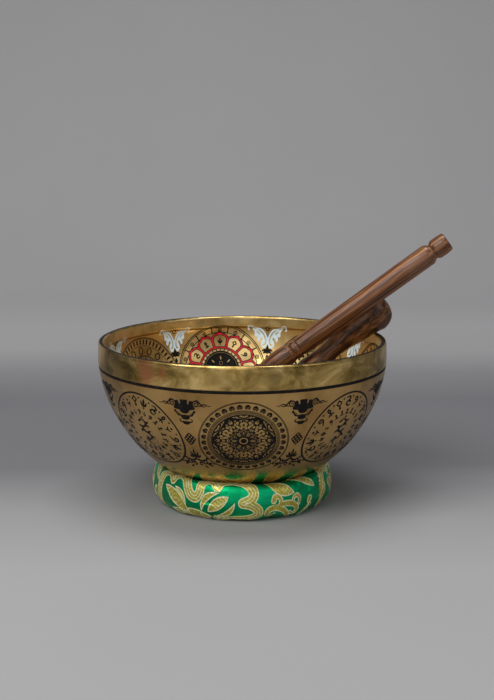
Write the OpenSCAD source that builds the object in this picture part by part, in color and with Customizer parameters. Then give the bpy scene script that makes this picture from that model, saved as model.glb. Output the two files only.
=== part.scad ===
// Singing bowl on a ring cushion, with a long striker and a club mallet
// standing in it. Millimetres, +Z up. The origin is the centre of the
// cushion's underside, on the surface that the set stands on; the bowl's
// axis is the Z axis.

/* [Bowl] */
// Diameter of the bowl over its rim
bowl_d = 280; // [260:1:300]
// Height of the bowl from its underside to the rim
bowl_h = 145; // [138:1:150]
// Height of the rim above the surface under the cushion
rim_z = 160; // [160:1:166]
// Wall thickness of the bowl
wall_t = 3.6; // [2.5:0.1:4.5]
// Thickness of the forged band inside the rim
lip_t = 5.4; // [4.8:0.1:6]
// Height of the forged band inside the rim
lip_h = 12; // [8:0.5:16]
// Depth below the rim at which the bowl is widest
waist_z = 18; // [14:1:20]
// How far the wall bulges beyond the rim
bulge = 0.4; // [0:0.1:1]
// Depth below the rim of the middle of the engraved black ring
groove_z = 23.4; // [22:0.2:26]
// Width of the engraved black ring
groove_w = 3; // [2:0.2:4]
// Depth of the engraved black ring
groove_t = 0.5; // [0.2:0.1:0.8]
// Roundness of the side below the widest point
side_n = 1.65; // [1.6:0.01:1.75]
// Flatness of the underside
base_n = 2.3; // [2.2:0.05:2.5]

/* [Ring cushion] */
// Outside diameter of the ring cushion
cushion_d = 178; // [172:1:182]
// Diameter of the hole through the ring cushion
cushion_hole_d = 90; // [80:1:96]
// Height of the ring cushion where nothing presses on it
cushion_h = 36; // [32:1:38]
// Thickness of the quilted brocade cover
cover_t = 1.6; // [1.2:0.1:2.4]
// Air gap between the bowl and the cushion
rest_gap = 0.35; // [0.3:0.05:0.6]
// Number of hand stitches that close the cover inside the hole
stitch_n = 40; // [24:1:56]
// Number of stitches across the seam that joins the ends of the tube
end_stitch_n = 9; // [5:1:11]
// Direction of the end seam, measured from +X towards +Y
end_seam_a = -31; // [-60:1:0]
// Diameter of the sewing thread
thread_d = 1; // [0.8:0.1:1.4]

/* [Striker mallet] */
// Length of the striker
striker_l = 350; // [330:1:350]
// Diameter of the striker's shaft below the knob
striker_d = 21; // [18:0.5:21.5]
// Direction of the striker, measured from +X towards +Y
striker_a = -4.6; // [-6:0.1:-3]
// Slope of the striker above the horizontal
striker_e = 36.7; // [36:0.1:38]

/* [Club mallet] */
// Length of the club mallet
club_l = 250; // [240:1:250]
// Diameter of the club mallet's head
club_d = 44; // [36:0.5:44]
// Diameter of the club mallet's waist
club_waist_d = 19.4; // [17:0.2:20]
// Direction of the club mallet, measured from +X towards +Y
club_a = 14; // [13:0.1:15]
// Slope of the club mallet above the horizontal
club_e = 41.9; // [41.5:0.1:42.3]

/* [Hidden] */
$fn = 96;
brass = [0.62, 0.49, 0.25];
rosewood = [0.36, 0.18, 0.11];
brocade = [0.05, 0.48, 0.20];
gold_thread = [0.80, 0.67, 0.32];

rim_r = bowl_d / 2;
max_r = rim_r + bulge;

// Monotone curve through stations [s, r], for turned profiles
function sec(P, i) = (P[i + 1][1] - P[i][1]) / (P[i + 1][0] - P[i][0]);
function tang(P, i) = i == 0 ? sec(P, 0) : i == len(P) - 1 ? sec(P, i - 1) :
    sec(P, i - 1) * sec(P, i) <= 0 ? 0 :
    2 * sec(P, i - 1) * sec(P, i) / (sec(P, i - 1) + sec(P, i));
function hseg(P, s, i) = let (h = P[i + 1][0] - P[i][0], t = (s - P[i][0]) / h)
    P[i][1] * (1 + 2 * t) * (1 - t) * (1 - t) + h * tang(P, i) * t * (1 - t) * (1 - t)
    + P[i + 1][1] * t * t * (3 - 2 * t) + h * tang(P, i + 1) * t * t * (t - 1);
function at(P, s, i = 0) = i >= len(P) - 2 || s <= P[i + 1][0] ? hseg(P, s, i) : at(P, s, i + 1);

// ---- bowl profile: r and z for t from 0 (widest point) to 1 (underside) ----
low_h = bowl_h - waist_z;
function side_u(t) = sin(90 * t);
function side_r(t) = max_r * pow(max(0, 1 - pow(side_u(t), side_n)), 1 / base_n);
function side_z(t) = rim_z - waist_z - low_h * side_u(t);
function side_p(t) = [side_r(t), side_z(t)];
// outward normal of the side at t
function side_v(t) = let (a = side_p(max(0, t - 0.004)), b = side_p(min(1, t + 0.004)),
    d = b - a, l = norm(d)) t >= 0.999 ? [0, -1] : [-d[1] / l, d[0] / l];
function off_p(t, g) = let (p = side_p(t) + g * side_v(t)) [max(0, p[0]), p[1]];
SN = 44;
function ts(i) = pow(i / SN, 0.9);
// height of the bowl's underside, plus a gap below it, at radius r
function under_t(r, lo = 0, hi = 1, n = 22) = n == 0 ? (lo + hi) / 2 :
    let (m = (lo + hi) / 2) side_r(m) > r ? under_t(r, m, hi, n - 1) : under_t(r, lo, m, n - 1);

top_r = 2;                         // rounding of the rim
inner_lip_r = rim_r - lip_t;       // inside of the forged band
function top_x(z) = rim_r + bulge * sin(90 * min(1, z / waist_z));
module singing_bowl() {
    outer_top = [for (a = [90:-15:0]) [rim_r - top_r + top_r * cos(a), rim_z - top_r + top_r * sin(a)]];
    outer_side = [for (z = [6:4:waist_z - 2]) [top_x(z), rim_z - z]];
    g0 = groove_z - groove_w / 2;
    g1 = groove_z + groove_w / 2;
    function zt(z) = asin((z - waist_z) / low_h) / 90;
    groove = [[side_r(zt(g0)), rim_z - g0], [side_r(zt(g0 + 0.4)) - groove_t, rim_z - g0 - 0.4],
              [side_r(zt(g1 - 0.4)) - groove_t, rim_z - g1 + 0.4], [side_r(zt(g1)), rim_z - g1]];
    outer_low = [for (i = [0:SN]) if (side_z(ts(i)) < rim_z - g1 - 0.8) side_p(ts(i))];
    inner_low = [for (i = [SN:-1:0]) if (off_p(ts(i), -wall_t)[1] < rim_z - lip_h - 4)
                 i == SN ? [0, rim_z - bowl_h + wall_t] : off_p(ts(i), -wall_t)];
    step = [[rim_r - wall_t + bulge * 0.7, rim_z - lip_h - 2.2], [rim_r - wall_t + bulge * 0.4, rim_z - lip_h - 0.6],
            [inner_lip_r + 0.5, rim_z - lip_h]];
    inner_top = concat([[inner_lip_r, rim_z - lip_h + 0.8]],
        [for (a = [180:-15:105]) [inner_lip_r + top_r + top_r * cos(a), rim_z - top_r + top_r * sin(a)]]);
    color(brass) rotate_extrude($fn = 180)
        polygon(concat(outer_top, outer_side, groove, outer_low, inner_low, step, inner_top));
}

// ---- ring cushion ----
ring_r = (cushion_d / 2 + cushion_hole_d / 2) / 2;
ring_w = (cushion_d / 2 - cushion_hole_d / 2) / 2;
ring_z = cushion_h / 2 + 0.5;
ring_n = 2.35;
foot_sag = 1.5;                    // how far the round section is flattened where it stands
function sgn_pow(v, n) = sign(v) * pow(abs(v), n);
// section of the ring, drawn in by g on every side
function ring_p(a, g) = let (
    r = ring_r + (ring_w - g) * sgn_pow(cos(a), 2 / ring_n),
    hz = (sin(a) < 0 ? ring_z + foot_sag : cushion_h - ring_z) - g,
    z = ring_z + hz * sgn_pow(sin(a), 2 / ring_n),
    lim = off_p(under_t(r), rest_gap + g)[1])
    [r, max(g, min(z, lim))];
module ring_section(g) polygon([for (a = [0:5:355]) ring_p(a, g)]);
module cushion_cover() {
    color(brocade) rotate_extrude($fn = 180) difference() {
        ring_section(0);
        ring_section(cover_t);
    }
}
module cushion_filling() {
    color("ivory") rotate_extrude($fn = 180) ring_section(cover_t + 0.3);
}
// hand stitches that close the tube along the inside of the hole
module cushion_closing_thread() {
    color(gold_thread) for (i = [0:stitch_n - 1]) rotate([0, 0, i * 360 / stitch_n])
        translate([cushion_hole_d / 2 - thread_d * 0.3, 0, ring_z - 6])
            rotate([20, 0, 0]) cylinder(d = thread_d, h = 8, center = true, $fn = 24);
}
// stitches across the seam that joins the two ends of the tube
module cushion_end_seam_thread() {
    color(gold_thread) rotate([0, 0, end_seam_a]) for (i = [0:end_stitch_n - 1])
        let (a = -40 + i * 84 / (end_stitch_n - 1),
             p = [ring_r + (ring_w + thread_d * 0.25) * sgn_pow(cos(a), 2 / ring_n), 0,
                  ring_z + (sin(a) < 0 ? ring_z + foot_sag : cushion_h - ring_z) * sgn_pow(sin(a), 2 / ring_n)])
            if (p[2] > 3 && p[2] < side_z(under_t(p[0])) - 3) translate(p)
                rotate([90, 0, 0]) cylinder(d = thread_d, h = 4, center = true, $fn = 24);
}

// ---- striker: one turned stick, from its tip (s = 0) to the knob's end ----
sr = striker_d / 2;
sl = striker_l;
striker_stations = [
    [0, 2], [1.2, 5.2], [4, 7.6], [9, 8.8], [20, 9], [110, 8.8], [128, 9],
    [140, 10.1], [149, 10.9], [158, 10.4], [163.5, 9.6], [165.5, 8.9],
    [167, 9.5], [170, 9.7], [172, 9.4], [173, 9], [174.2, 9.6],
    [230, sr - 0.3], [300, sr], [sl - 24, sr], [sl - 20.5, sr - 1],
    [sl - 18, 7.8], [sl - 17.3, 7.8], [sl - 16, 9], [sl - 13, 10],
    [sl - 8, 10], [sl - 2, 9.5], [sl - 0.6, 8.8], [sl, 7.6]];
module turned(P, step) {
    n = round(P[len(P) - 1][0] / step);
    grid = [for (i = [0:n]) P[len(P) - 1][0] * i / n];
    rotate_extrude($fn = 96) polygon(concat([[0, 0]],
        [for (s = grid) if (s > 0.01) [at(P, s), s]], [[0, P[len(P) - 1][0]]]));
}
striker_tip = [-82.9, 16, rim_z - 113.2];
module striker_mallet() {
    color(rosewood) translate(striker_tip) rotate([0, 90 - striker_e, striker_a])
        turned(striker_stations, 1.75);
}

// ---- club mallet: one turned piece, from the end of its grip to its head ----
cl = club_l;
cr = club_d / 2;
club_stations = [
    [0, 4], [1.5, 7.6], [5, 10.2], [11, 11.6], [30, 12.2], [80, 13.1], [120, 13.1],
    [146, 12.6], [160, 11], [172, club_waist_d / 2], [178, club_waist_d / 2],
    [188, 11.3], [205, 15.3], [225, 20.1], [cl - 18.6, cr], [cl - 14, cr - 0.5],
    [cl - 9.3, 20 * cr / 22], [cl - 5.4, 17.2 * cr / 22], [cl - 2.4, 12.6 * cr / 22],
    [cl - 0.8, 8 * cr / 22], [cl, 1.5]];
club_tip = [-39.6, -12.9, rim_z - 133];
module club_mallet() {
    color(rosewood * 0.9) translate(club_tip) rotate([0, 90 - club_e, club_a])
        turned(club_stations, 1.25);
}

singing_bowl();
cushion_cover();
cushion_filling();
cushion_closing_thread();
cushion_end_seam_thread();
striker_mallet();
club_mallet();
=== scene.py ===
import math

import bpy
import numpy as np
from mathutils import Matrix, Vector
from mathutils.geometry import delaunay_2d_cdt


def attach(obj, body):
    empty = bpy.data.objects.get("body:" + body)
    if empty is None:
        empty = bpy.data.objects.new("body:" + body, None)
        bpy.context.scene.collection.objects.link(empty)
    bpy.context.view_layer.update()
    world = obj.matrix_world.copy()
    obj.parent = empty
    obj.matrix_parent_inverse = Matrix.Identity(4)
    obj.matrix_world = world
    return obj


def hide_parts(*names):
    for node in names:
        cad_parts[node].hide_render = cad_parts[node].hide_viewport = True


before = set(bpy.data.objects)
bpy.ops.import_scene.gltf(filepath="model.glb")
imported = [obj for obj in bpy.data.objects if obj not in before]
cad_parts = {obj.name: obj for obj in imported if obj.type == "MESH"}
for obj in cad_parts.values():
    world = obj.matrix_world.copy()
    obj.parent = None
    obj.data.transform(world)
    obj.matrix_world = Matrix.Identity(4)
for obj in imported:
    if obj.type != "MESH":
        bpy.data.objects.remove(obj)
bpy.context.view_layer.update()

MM = 0.001
TAU = 2 * math.pi
rad = math.radians

# ---------------------------------------------------------------- camera
cam_data = bpy.data.cameras.new("camera")
cam = bpy.data.objects.new("camera", cam_data)
bpy.context.scene.collection.objects.link(cam)
cam.location = (0.00447, -1.16804, 0.36906)
cam.rotation_euler = (math.pi / 2 - 0.1869, 0, 0)
cam_data.sensor_fit = "VERTICAL"
cam_data.sensor_height = 36
cam_data.lens = 62.42
cam_data.clip_start, cam_data.clip_end = 0.05, 30
bpy.context.scene.camera = cam


# ---------------------------------------------------------------- helpers
def new_object(name, verts, faces, material=None, smooth=True, sharp=None):
    me = bpy.data.meshes.new(name)
    me.from_pydata(np.asarray(verts, float).tolist(), [], [list(map(int, f)) for f in faces] if not isinstance(faces, np.ndarray) else faces.tolist())
    me.polygons.foreach_set("use_smooth", [smooth] * len(me.polygons))
    if sharp is not None:
        me.set_sharp_from_angle(angle=sharp)
    me.update()
    ob = bpy.data.objects.new(name, me)
    bpy.context.scene.collection.objects.link(ob)
    if material is not None:
        me.materials.append(material)
    return ob


def vector_attribute(ob, name, values):
    at = ob.data.attributes.new(name, "FLOAT_VECTOR", "POINT")
    at.data.foreach_set("vector", np.asarray(values, np.float32).ravel())


def waves(seed, lo, hi, n):
    """A smooth random field of cosines over (a, b), a being an angle that closes."""
    g = np.random.default_rng(seed)
    out = []
    for _ in range(n):
        lam = g.uniform(lo, hi)
        ang = g.uniform(0, math.pi)
        k = 2 * math.pi / lam
        out.append((int(round(k * math.cos(ang) * 110)), k * math.sin(ang), g.uniform(0, TAU)))
    return out


def wave_field(ws, a, b):
    t = 0.0
    for m, kb, ph in ws:
        t = t + np.cos(m * a + kb * b + ph)
    return t / math.sqrt(len(ws) / 2)


# ---------------------------------------------------------------- node helpers
class Nodes:
    def __init__(self, name):
        self.mat = bpy.data.materials.new(name)
        self.mat.use_nodes = True
        self.t = self.mat.node_tree
        self.t.nodes.clear()
        self.out = self.t.nodes.new("ShaderNodeOutputMaterial")
        self.bsdf = self.t.nodes.new("ShaderNodeBsdfPrincipled")
        self.t.links.new(self.bsdf.outputs[0], self.out.inputs[0])
        self.co = None

    def n(self, kind, **kw):
        node = self.t.nodes.new("ShaderNode" + kind)
        for k, v in kw.items():
            setattr(node, k, v)
        return node

    def link(self, a, b):
        self.t.links.new(a, b)

    def put(self, sock, value):
        if isinstance(value, (int, float)):
            sock.default_value = value
        elif isinstance(value, (tuple, list)):
            sock.default_value = tuple(value) + ((1.0,) if len(value) == 3 and len(sock.default_value) == 4 else ())
        else:
            self.t.links.new(value, sock)

    def coord(self, attribute=None):
        if attribute:
            a = self.n("Attribute", attribute_name=attribute)
            return a.outputs["Vector"]
        return self.n("TexCoord").outputs["Object"]

    def scaled(self, vec, sx, sy, sz, loc=(0, 0, 0), rot=(0, 0, 0)):
        m = self.n("Mapping")
        self.link(vec, m.inputs["Vector"])
        m.inputs["Scale"].default_value = (sx, sy, sz)
        m.inputs["Location"].default_value = loc
        m.inputs["Rotation"].default_value = rot
        return m.outputs[0]

    def noise(self, vec, scale, detail=3, rough=0.5, dist=0.0, out="Fac"):
        n = self.n("TexNoise")
        self.link(vec, n.inputs["Vector"])
        n.inputs["Scale"].default_value = scale
        n.inputs["Detail"].default_value = detail
        n.inputs["Roughness"].default_value = rough
        n.inputs["Distortion"].default_value = dist
        return n.outputs[out]

    def voronoi(self, vec, scale, feature="F1", out="Distance", rnd=1.0):
        n = self.n("TexVoronoi", feature=feature)
        self.link(vec, n.inputs["Vector"])
        n.inputs["Scale"].default_value = scale
        n.inputs["Randomness"].default_value = rnd
        return n.outputs[out]

    def ramp(self, fac, stops, mode="LINEAR"):
        r = self.n("ValToRGB")
        r.color_ramp.interpolation = mode
        el = r.color_ramp.elements
        while len(el) < len(stops):
            el.new(0.5)
        for e, (p, c) in zip(el, stops):
            e.position = p
            e.color = (*c, 1) if isinstance(c, tuple) else (c, c, c, 1)
        self.link(fac, r.inputs[0])
        return r.outputs[0]

    def math(self, op, a, b=0.0, c=None, clamp=False):
        m = self.n("Math", operation=op, use_clamp=clamp)
        self.put(m.inputs[0], a)
        self.put(m.inputs[1], b)
        if c is not None:
            self.put(m.inputs[2], c)
        return m.outputs[0]

    def mapr(self, v, a, b, c, d, smooth=False):
        m = self.n("MapRange", clamp=True)
        if smooth:
            m.interpolation_type = "SMOOTHSTEP"
        self.put(m.inputs[0], v)
        for i, x in enumerate((a, b, c, d)):
            m.inputs[i + 1].default_value = x
        return m.outputs[0]

    def mix(self, fac, a, b, blend="MIX"):
        m = self.n("Mix", data_type="RGBA", blend_type=blend)
        self.put(m.inputs[0], fac)
        self.put(m.inputs[6], a)
        self.put(m.inputs[7], b)
        return m.outputs[2]

    def spot(self, vec, at, radius, soft=0.5, wobble=None):
        """1 near the point at, 0 beyond radius; wobble shifts the edge."""
        d = self.n("VectorMath", operation="DISTANCE")
        self.link(vec, d.inputs[0])
        d.inputs[1].default_value = at
        v = d.outputs["Value"]
        if wobble is not None:
            v = self.math("ADD", v, wobble)
        return self.mapr(v, radius * (1 - soft), radius, 1.0, 0.0, smooth=True)

    def bump(self, height, strength, distance, normal=None):
        b = self.n("Bump")
        self.put(b.inputs["Height"], height)
        b.inputs["Strength"].default_value = strength
        b.inputs["Distance"].default_value = distance
        if normal is not None:
            self.link(normal, b.inputs["Normal"])
        return b.outputs[0]

    def set(self, **kw):
        names = {"color": "Base Color", "metal": "Metallic", "rough": "Roughness", "normal": "Normal",
                 "spec": "Specular IOR Level", "sheen": "Sheen Weight", "sheen_rough": "Sheen Roughness",
                 "sheen_tint": "Sheen Tint", "coat": "Coat Weight", "coat_rough": "Coat Roughness",
                 "aniso": "Anisotropic", "tint": "Specular Tint"}
        for k, v in kw.items():
            self.put(self.bsdf.inputs[names[k]], v)
        return self.mat


# ---------------------------------------------------------------- bowl surfaces
RIM_Z, R_RIM, BULGE, WALL = 160.0, 140.0, 0.4, 3.6


def low_side(t):
    u = np.sin(np.pi / 2 * t)
    return (R_RIM + BULGE) * np.maximum(0, 1 - u**1.65) ** (1 / 2.3), (RIM_Z - 18) - 127 * u


def low_normal(t):
    a = low_side(np.clip(t - 0.002, 0, 1))
    b = low_side(np.clip(t + 0.002, 0, 1))
    dr, dz = b[0] - a[0], b[1] - a[1]
    n = np.hypot(dr, dz)
    return -dz / n, dr / n


_t = np.linspace(0, 1, 6000) ** 0.8
_r, _z = low_side(_t)
_nr, _nz = low_normal(_t)
_zt = np.linspace(0, 18, 60)[:-1]
OUT_R = np.concatenate([R_RIM + BULGE * np.sin(np.pi / 2 * _zt / 18), _r])
OUT_Z = np.concatenate([RIM_Z - _zt, _z])
OUT_NR = np.concatenate([np.ones_like(_zt), _nr])
OUT_NZ = np.concatenate([np.zeros_like(_zt), _nz])
OUT_S = np.concatenate([[0], np.cumsum(np.hypot(np.diff(OUT_R), np.diff(OUT_Z)))])

_ir, _iz = _r - WALL * _nr, _z - WALL * _nz
_keep = (_iz < RIM_Z - 16) & (_ir > 0.0)
_ir, _iz, _inr, _inz = _ir[_keep], _iz[_keep], -_nr[_keep], -_nz[_keep]
_bz = np.array([160, 158, 155, 152, 149.4, 148.6, 148.0, 147.5, 147.1, 146.5, 145.6, 144.6])
_br = np.array([134.6, 134.6, 134.6, 134.6, 134.62, 134.8, 135.2, 135.8, 136.35, 136.6, 136.7, 136.75])
_keep2 = _iz < 143.9
_ir, _iz, _inr, _inz = _ir[_keep2], _iz[_keep2], _inr[_keep2], _inz[_keep2]
_bnr = np.array([-1, -1, -1, -1, -0.99, -0.9, -0.75, -0.66, -0.8, -0.96, -0.99, -1.0])
IN_R = np.concatenate([_br, _ir])
IN_Z = np.concatenate([_bz, _iz])
IN_NR = np.concatenate([_bnr, _inr])
IN_NZ = np.concatenate([-np.sqrt(np.maximum(0, 1 - _bnr**2)), _inz])
IN_S = np.concatenate([[0], np.cumsum(np.hypot(np.diff(IN_R), np.diff(IN_Z)))])

W_LEDGE = waves(15, 26, 80, 10)
W_OUT = waves(11, 16, 42, 26)
W_IN = waves(12, 15, 34, 26)


class Lathe:
    """One side of the bowl's wall. right is the sign of the turning sense that goes right for a viewer facing it."""

    def __init__(self, s, r, z, nr, nz, ws, amp, right, s_lo, s_hi):
        self.tab = (s, r, z, nr, nz)
        self.ws, self.amp, self.right, self.s_lo, self.s_hi = ws, amp, right, s_lo, s_hi

    def at(self, s):
        t = self.tab
        return [np.interp(s, t[0], t[i]) for i in (1, 2, 3, 4)]

    def dent(self, a, s):
        fade = np.clip((s - self.s_lo) / 6, 0, 1) * np.clip((self.s_hi - s) / 20, 0, 1)
        return self.amp * fade * wave_field(self.ws, a, s)

    def points(self, a, s, off=0.0):
        r, z, nr, nz = self.at(s)
        d = self.dent(a, s) + off
        rr = r + nr * d
        if self.right < 0:
            z = z + 0.32 * wave_field(W_LEDGE, a, 0.0) * np.clip((s - 9) / 2, 0, 1) * np.clip((19 - s) / 2, 0, 1)
        return np.stack([rr * np.cos(a), rr * np.sin(a), z + nz * d], -1) * MM

    def place(self, xy, centre, off):
        """Art coordinates in mm, x right and y up, to points on the wall."""
        s = centre[1] - xy[:, 1]
        r = np.interp(s, self.tab[0], self.tab[1])
        return self.points(centre[0] + self.right * xy[:, 0] / r, s, off)


OUTER = Lathe(OUT_S, OUT_R, OUT_Z, OUT_NR, OUT_NZ, W_OUT, 0.06, 1, 26, OUT_S[-1])
INNER = Lathe(IN_S, IN_R, IN_Z, IN_NR, IN_NZ, W_IN, 0.14, -1, 2, IN_S[-1])


def build_bowl(mats):
    NU = 384
    ang = np.arange(NU) / NU * TAU - math.pi / 2
    rows, zone = [], []

    def ring(surface, s):
        rows.append(surface.points(ang, np.full(NU, float(s))))

    def raw(r, z):
        rows.append(np.stack([r * np.cos(ang), r * np.sin(ang), np.full(NU, float(z))], -1) * MM)

    # underside up to the rim
    s_end = OUT_S[-1]
    stations = list(np.linspace(s_end - 1.5, 27.5, 92))
    for s in stations:
        ring(OUTER, s)
        zone.append(0)
    g0, g1 = 21.9, 24.9

    def groove(depth, inset):
        r, z, nr, nz = OUTER.at(np.interp(RIM_Z - depth, OUT_Z[::-1], OUT_S[::-1]))
        raw(r - inset, z)
        zone.append(0)

    for dep, ins in ((26, 0), (g1 + 0.25, 0), (g1, 0.04), (g1 - 0.12, 0.42), (g1 - 0.35, 0.5), (23.4, 0.5),
                     (g0 + 0.35, 0.5), (g0 + 0.12, 0.42), (g0, 0.04), (g0 - 0.25, 0)):
        groove(dep, ins)
    band = waves(13, 22, 60, 14)
    for dep in (20.8, 19, 17, 15, 13, 11, 9, 7, 5, 3.4, 2.4):
        r, z, nr, nz = OUTER.at(dep)
        d = 0.05 * wave_field(band, ang, dep) * min(1, (dep - 2) / 3, (21.9 - dep) / 2)
        raw(r + d, z)
        zone.append(0)
    for k in range(9):
        a = math.pi / 2 * k / 8
        raw(138 + 2 * math.cos(a), 158 + 2 * math.sin(a))
        zone.append(0)
    for k in range(1, 9):
        a = math.pi / 2 + math.pi / 2 * k / 8
        raw(136.6 + 2 * math.cos(a), 158 + 2 * math.sin(a))
        zone.append(0 if k < 6 else 1)
    for d in (3.6, 5.4, 7.2, 8.6):
        ring(INNER, d)
        zone.append(1)
    for d in np.concatenate([np.linspace(9.6, 16.4, 18), np.linspace(17.4, IN_S[-1] - 1.2, 84)]):
        ring(INNER, d)
        zone.append(1)
    P = np.concatenate(rows)
    n = len(rows)
    idx = np.arange(n * NU).reshape(n, NU)
    nx = np.roll(idx, -1, 1)
    quads = np.stack([idx[:-1], nx[:-1], nx[1:], idx[1:]], -1).reshape(-1, 4)
    bottom, top = len(P), len(P) + 1
    P = np.concatenate([P, [[0, 0, 0.015], [0, 0, (RIM_Z - 145 + WALL) * MM]]])
    caps = [(bottom, int(nx[0, i]), int(idx[0, i])) for i in range(NU)] + [(top, int(idx[-1, i]), int(nx[-1, i])) for i in range(NU)]
    faces = quads.tolist() + caps
    ob = new_object("singing_bowl_shell", P, faces, sharp=rad(48))
    for m in mats:
        ob.data.materials.append(m)
    z = np.concatenate([np.repeat(zone[:-1], NU), np.zeros(NU), np.ones(NU)]).astype(int)
    ob.data.polygons.foreach_set("material_index", z)
    return ob


# ---------------------------------------------------------------- flat art, as a signed distance field
class Art:
    """Filled shapes in a plane, in mm. field is below 0 inside the ink."""

    def __init__(self, x0, y0, x1, y1, h=0.2):
        self.x0, self.y0, self.h = x0, y0, h
        self.nx, self.ny = int(math.ceil((x1 - x0) / h)) + 1, int(math.ceil((y1 - y0) / h)) + 1
        self.X, self.Y = np.meshgrid(x0 + np.arange(self.nx) * h, y0 + np.arange(self.ny) * h)
        self.F = np.full((self.ny, self.nx), 3.0)
        self.T = [np.eye(2)]
        self.O = np.zeros(2)

    def sym(self, n=1, mirror=False, phase=0.0):
        self.T = []
        for k in range(n):
            a = TAU * k / n + phase
            R = np.array([[math.cos(a), -math.sin(a)], [math.sin(a), math.cos(a)]])
            self.T.append(R)
            if mirror:
                self.T.append(R @ np.array([[-1.0, 0], [0, 1]]))
        return self

    def at(self, x=0.0, y=0.0):
        self.O = np.array([x, y], float)
        return self

    def window(self, lo, hi):
        i0 = max(0, int((lo[0] - self.x0) / self.h) - 1)
        i1 = min(self.nx, int((hi[0] - self.x0) / self.h) + 3)
        j0 = max(0, int((lo[1] - self.y0) / self.h) - 1)
        j1 = min(self.ny, int((hi[1] - self.y0) / self.h) + 3)
        return (slice(j0, j1), slice(i0, i1)) if i1 > i0 and j1 > j0 else None

    def apply(self, w, d, cut):
        self.F[w] = np.maximum(self.F[w], -d) if cut else np.minimum(self.F[w], d)

    @staticmethod
    def near(q, X, Y, wa, wb):
        a, b = q[:-1], q[1:]
        ab = b - a
        L = (ab**2).sum(1) + 1e-12
        px, py = X[..., None] - a[:, 0], Y[..., None] - a[:, 1]
        t = np.clip((px * ab[:, 0] + py * ab[:, 1]) / L, 0, 1)
        d = np.hypot(px - t * ab[:, 0], py - t * ab[:, 1]) - (wa + t * (wb - wa))
        return d.min(-1)

    def stroke(self, pts, w, w1=None, cut=False):
        """A line through pts; w is its width, or the widths at the start and end, or at each point."""
        pts = np.asarray(pts, float)
        if np.ndim(w):
            ws = np.interp(np.linspace(0, 1, len(pts)), np.linspace(0, 1, len(w)), w) / 2
        else:
            ws = np.linspace(w, w if w1 is None else w1, len(pts)) / 2
        for M in self.T:
            q = pts @ M.T + self.O
            pad = ws.max() + 0.7
            w_ = self.window(q.min(0) - pad, q.max(0) + pad)
            if w_:
                self.apply(w_, self.near(q, self.X[w_], self.Y[w_], ws[:-1], ws[1:]), cut)
        return self

    def disc(self, x, y, r, cut=False):
        for M in self.T:
            c = M @ np.array([x, y], float) + self.O
            w_ = self.window(c - r - 0.8, c + r + 0.8)
            if w_:
                self.apply(w_, np.hypot(self.X[w_] - c[0], self.Y[w_] - c[1]) - r, cut)
        return self

    def ring(self, r, w, x=0.0, y=0.0, cut=False, a0=None, a1=None):
        for M in self.T if (x or y) else [np.eye(2)]:
            c = M @ np.array([x, y], float) + self.O
            e = r + w / 2 + 0.8
            w_ = self.window(c - e, c + e)
            if w_:
                d = np.abs(np.hypot(self.X[w_] - c[0], self.Y[w_] - c[1]) - r) - w / 2
                self.apply(w_, d, cut)
        return self

    def poly(self, pts, cut=False, grow=0.0):
        pts = np.asarray(pts, float)
        for M in self.T:
            q = pts @ M.T + self.O
            w_ = self.window(q.min(0) - 0.8 - grow, q.max(0) + 0.8 + grow)
            if not w_:
                continue
            X, Y = self.X[w_], self.Y[w_]
            c = np.concatenate([q, q[:1]])
            d = self.near(c, X, Y, 0.0, 0.0)
            a, b = c[:-1], c[1:]
            cr = (a[:, 1] > Y[..., None]) != (b[:, 1] > Y[..., None])
            dy = b[:, 1] - a[:, 1]
            xi = a[:, 0] + (Y[..., None] - a[:, 1]) / np.where(dy == 0, 1e-12, dy) * (b[:, 0] - a[:, 0])
            inside = (cr & (X[..., None] < xi)).sum(-1) % 2 == 1
            self.apply(w_, np.where(inside, -d, d) - grow, cut)
        return self

    def leaf(self, p, q, width, bow=0.0, cut=False, fat=0.5):
        """A pointed leaf from p to q, bowed sideways by bow."""
        p, q = np.asarray(p, float), np.asarray(q, float)
        d = q - p
        n = np.array([-d[1], d[0]]) / (np.hypot(*d) + 1e-9)
        t = np.linspace(0, 1, 13)
        mid = p + t[:, None] * d + (4 * t * (1 - t) * bow)[:, None] * n
        k = math.log(0.5) / math.log(fat)
        wv = np.sin(np.pi * t**k) ** 0.8 * width / 2
        return self.poly(np.concatenate([mid + wv[:, None] * n, (mid - wv[:, None] * n)[::-1][1:-1]]), cut)

    def field(self, d, cut=False):
        self.F = np.maximum(self.F, -d) if cut else np.minimum(self.F, d)
        return self

    def oval(self, rx, ry, w, x=0.0, y=0.0, n=26):
        t = np.linspace(0, TAU, n)
        return self.stroke(np.stack([x + rx * np.cos(t), y + ry * np.sin(t)], -1), w)

    def apart(self, gap, draw):
        """Draws over what is there, leaving a clear line of that width round the new shape."""
        old = self.F
        self.F = np.full_like(old, 3.0)
        draw(self)
        self.F = np.minimum(np.maximum(old, gap - self.F), self.F)
        return self


def bez(*p, n=14):
    p = [np.asarray(v, float) for v in p]
    t = np.linspace(0, 1, n)[:, None]
    if len(p) == 3:
        return (1 - t) ** 2 * p[0] + 2 * t * (1 - t) * p[1] + t**2 * p[2]
    return (1 - t) ** 3 * p[0] + 3 * t * (1 - t) ** 2 * p[1] + 3 * t**2 * (1 - t) * p[2] + t**3 * p[3]


def smooth_line(pts, n=8, closed=False):
    p = np.asarray(pts, float)
    q = np.concatenate([p[-1:], p, p[:2]]) if closed else np.concatenate([[2 * p[0] - p[1]], p, [2 * p[-1] - p[-2]]])
    out = []
    for i in range(1, len(q) - 2):
        t = np.linspace(0, 1, n, endpoint=False)[:, None]
        a, b, c, d = q[i - 1], q[i], q[i + 1], q[i + 2]
        out.append(0.5 * (2 * b + (c - a) * t + (2 * a - 5 * b + 4 * c - d) * t**2 + (3 * b - a - 3 * c + d) * t**3))
    out = np.concatenate(out)
    return out if closed else np.concatenate([out, p[-1:]])


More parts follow.
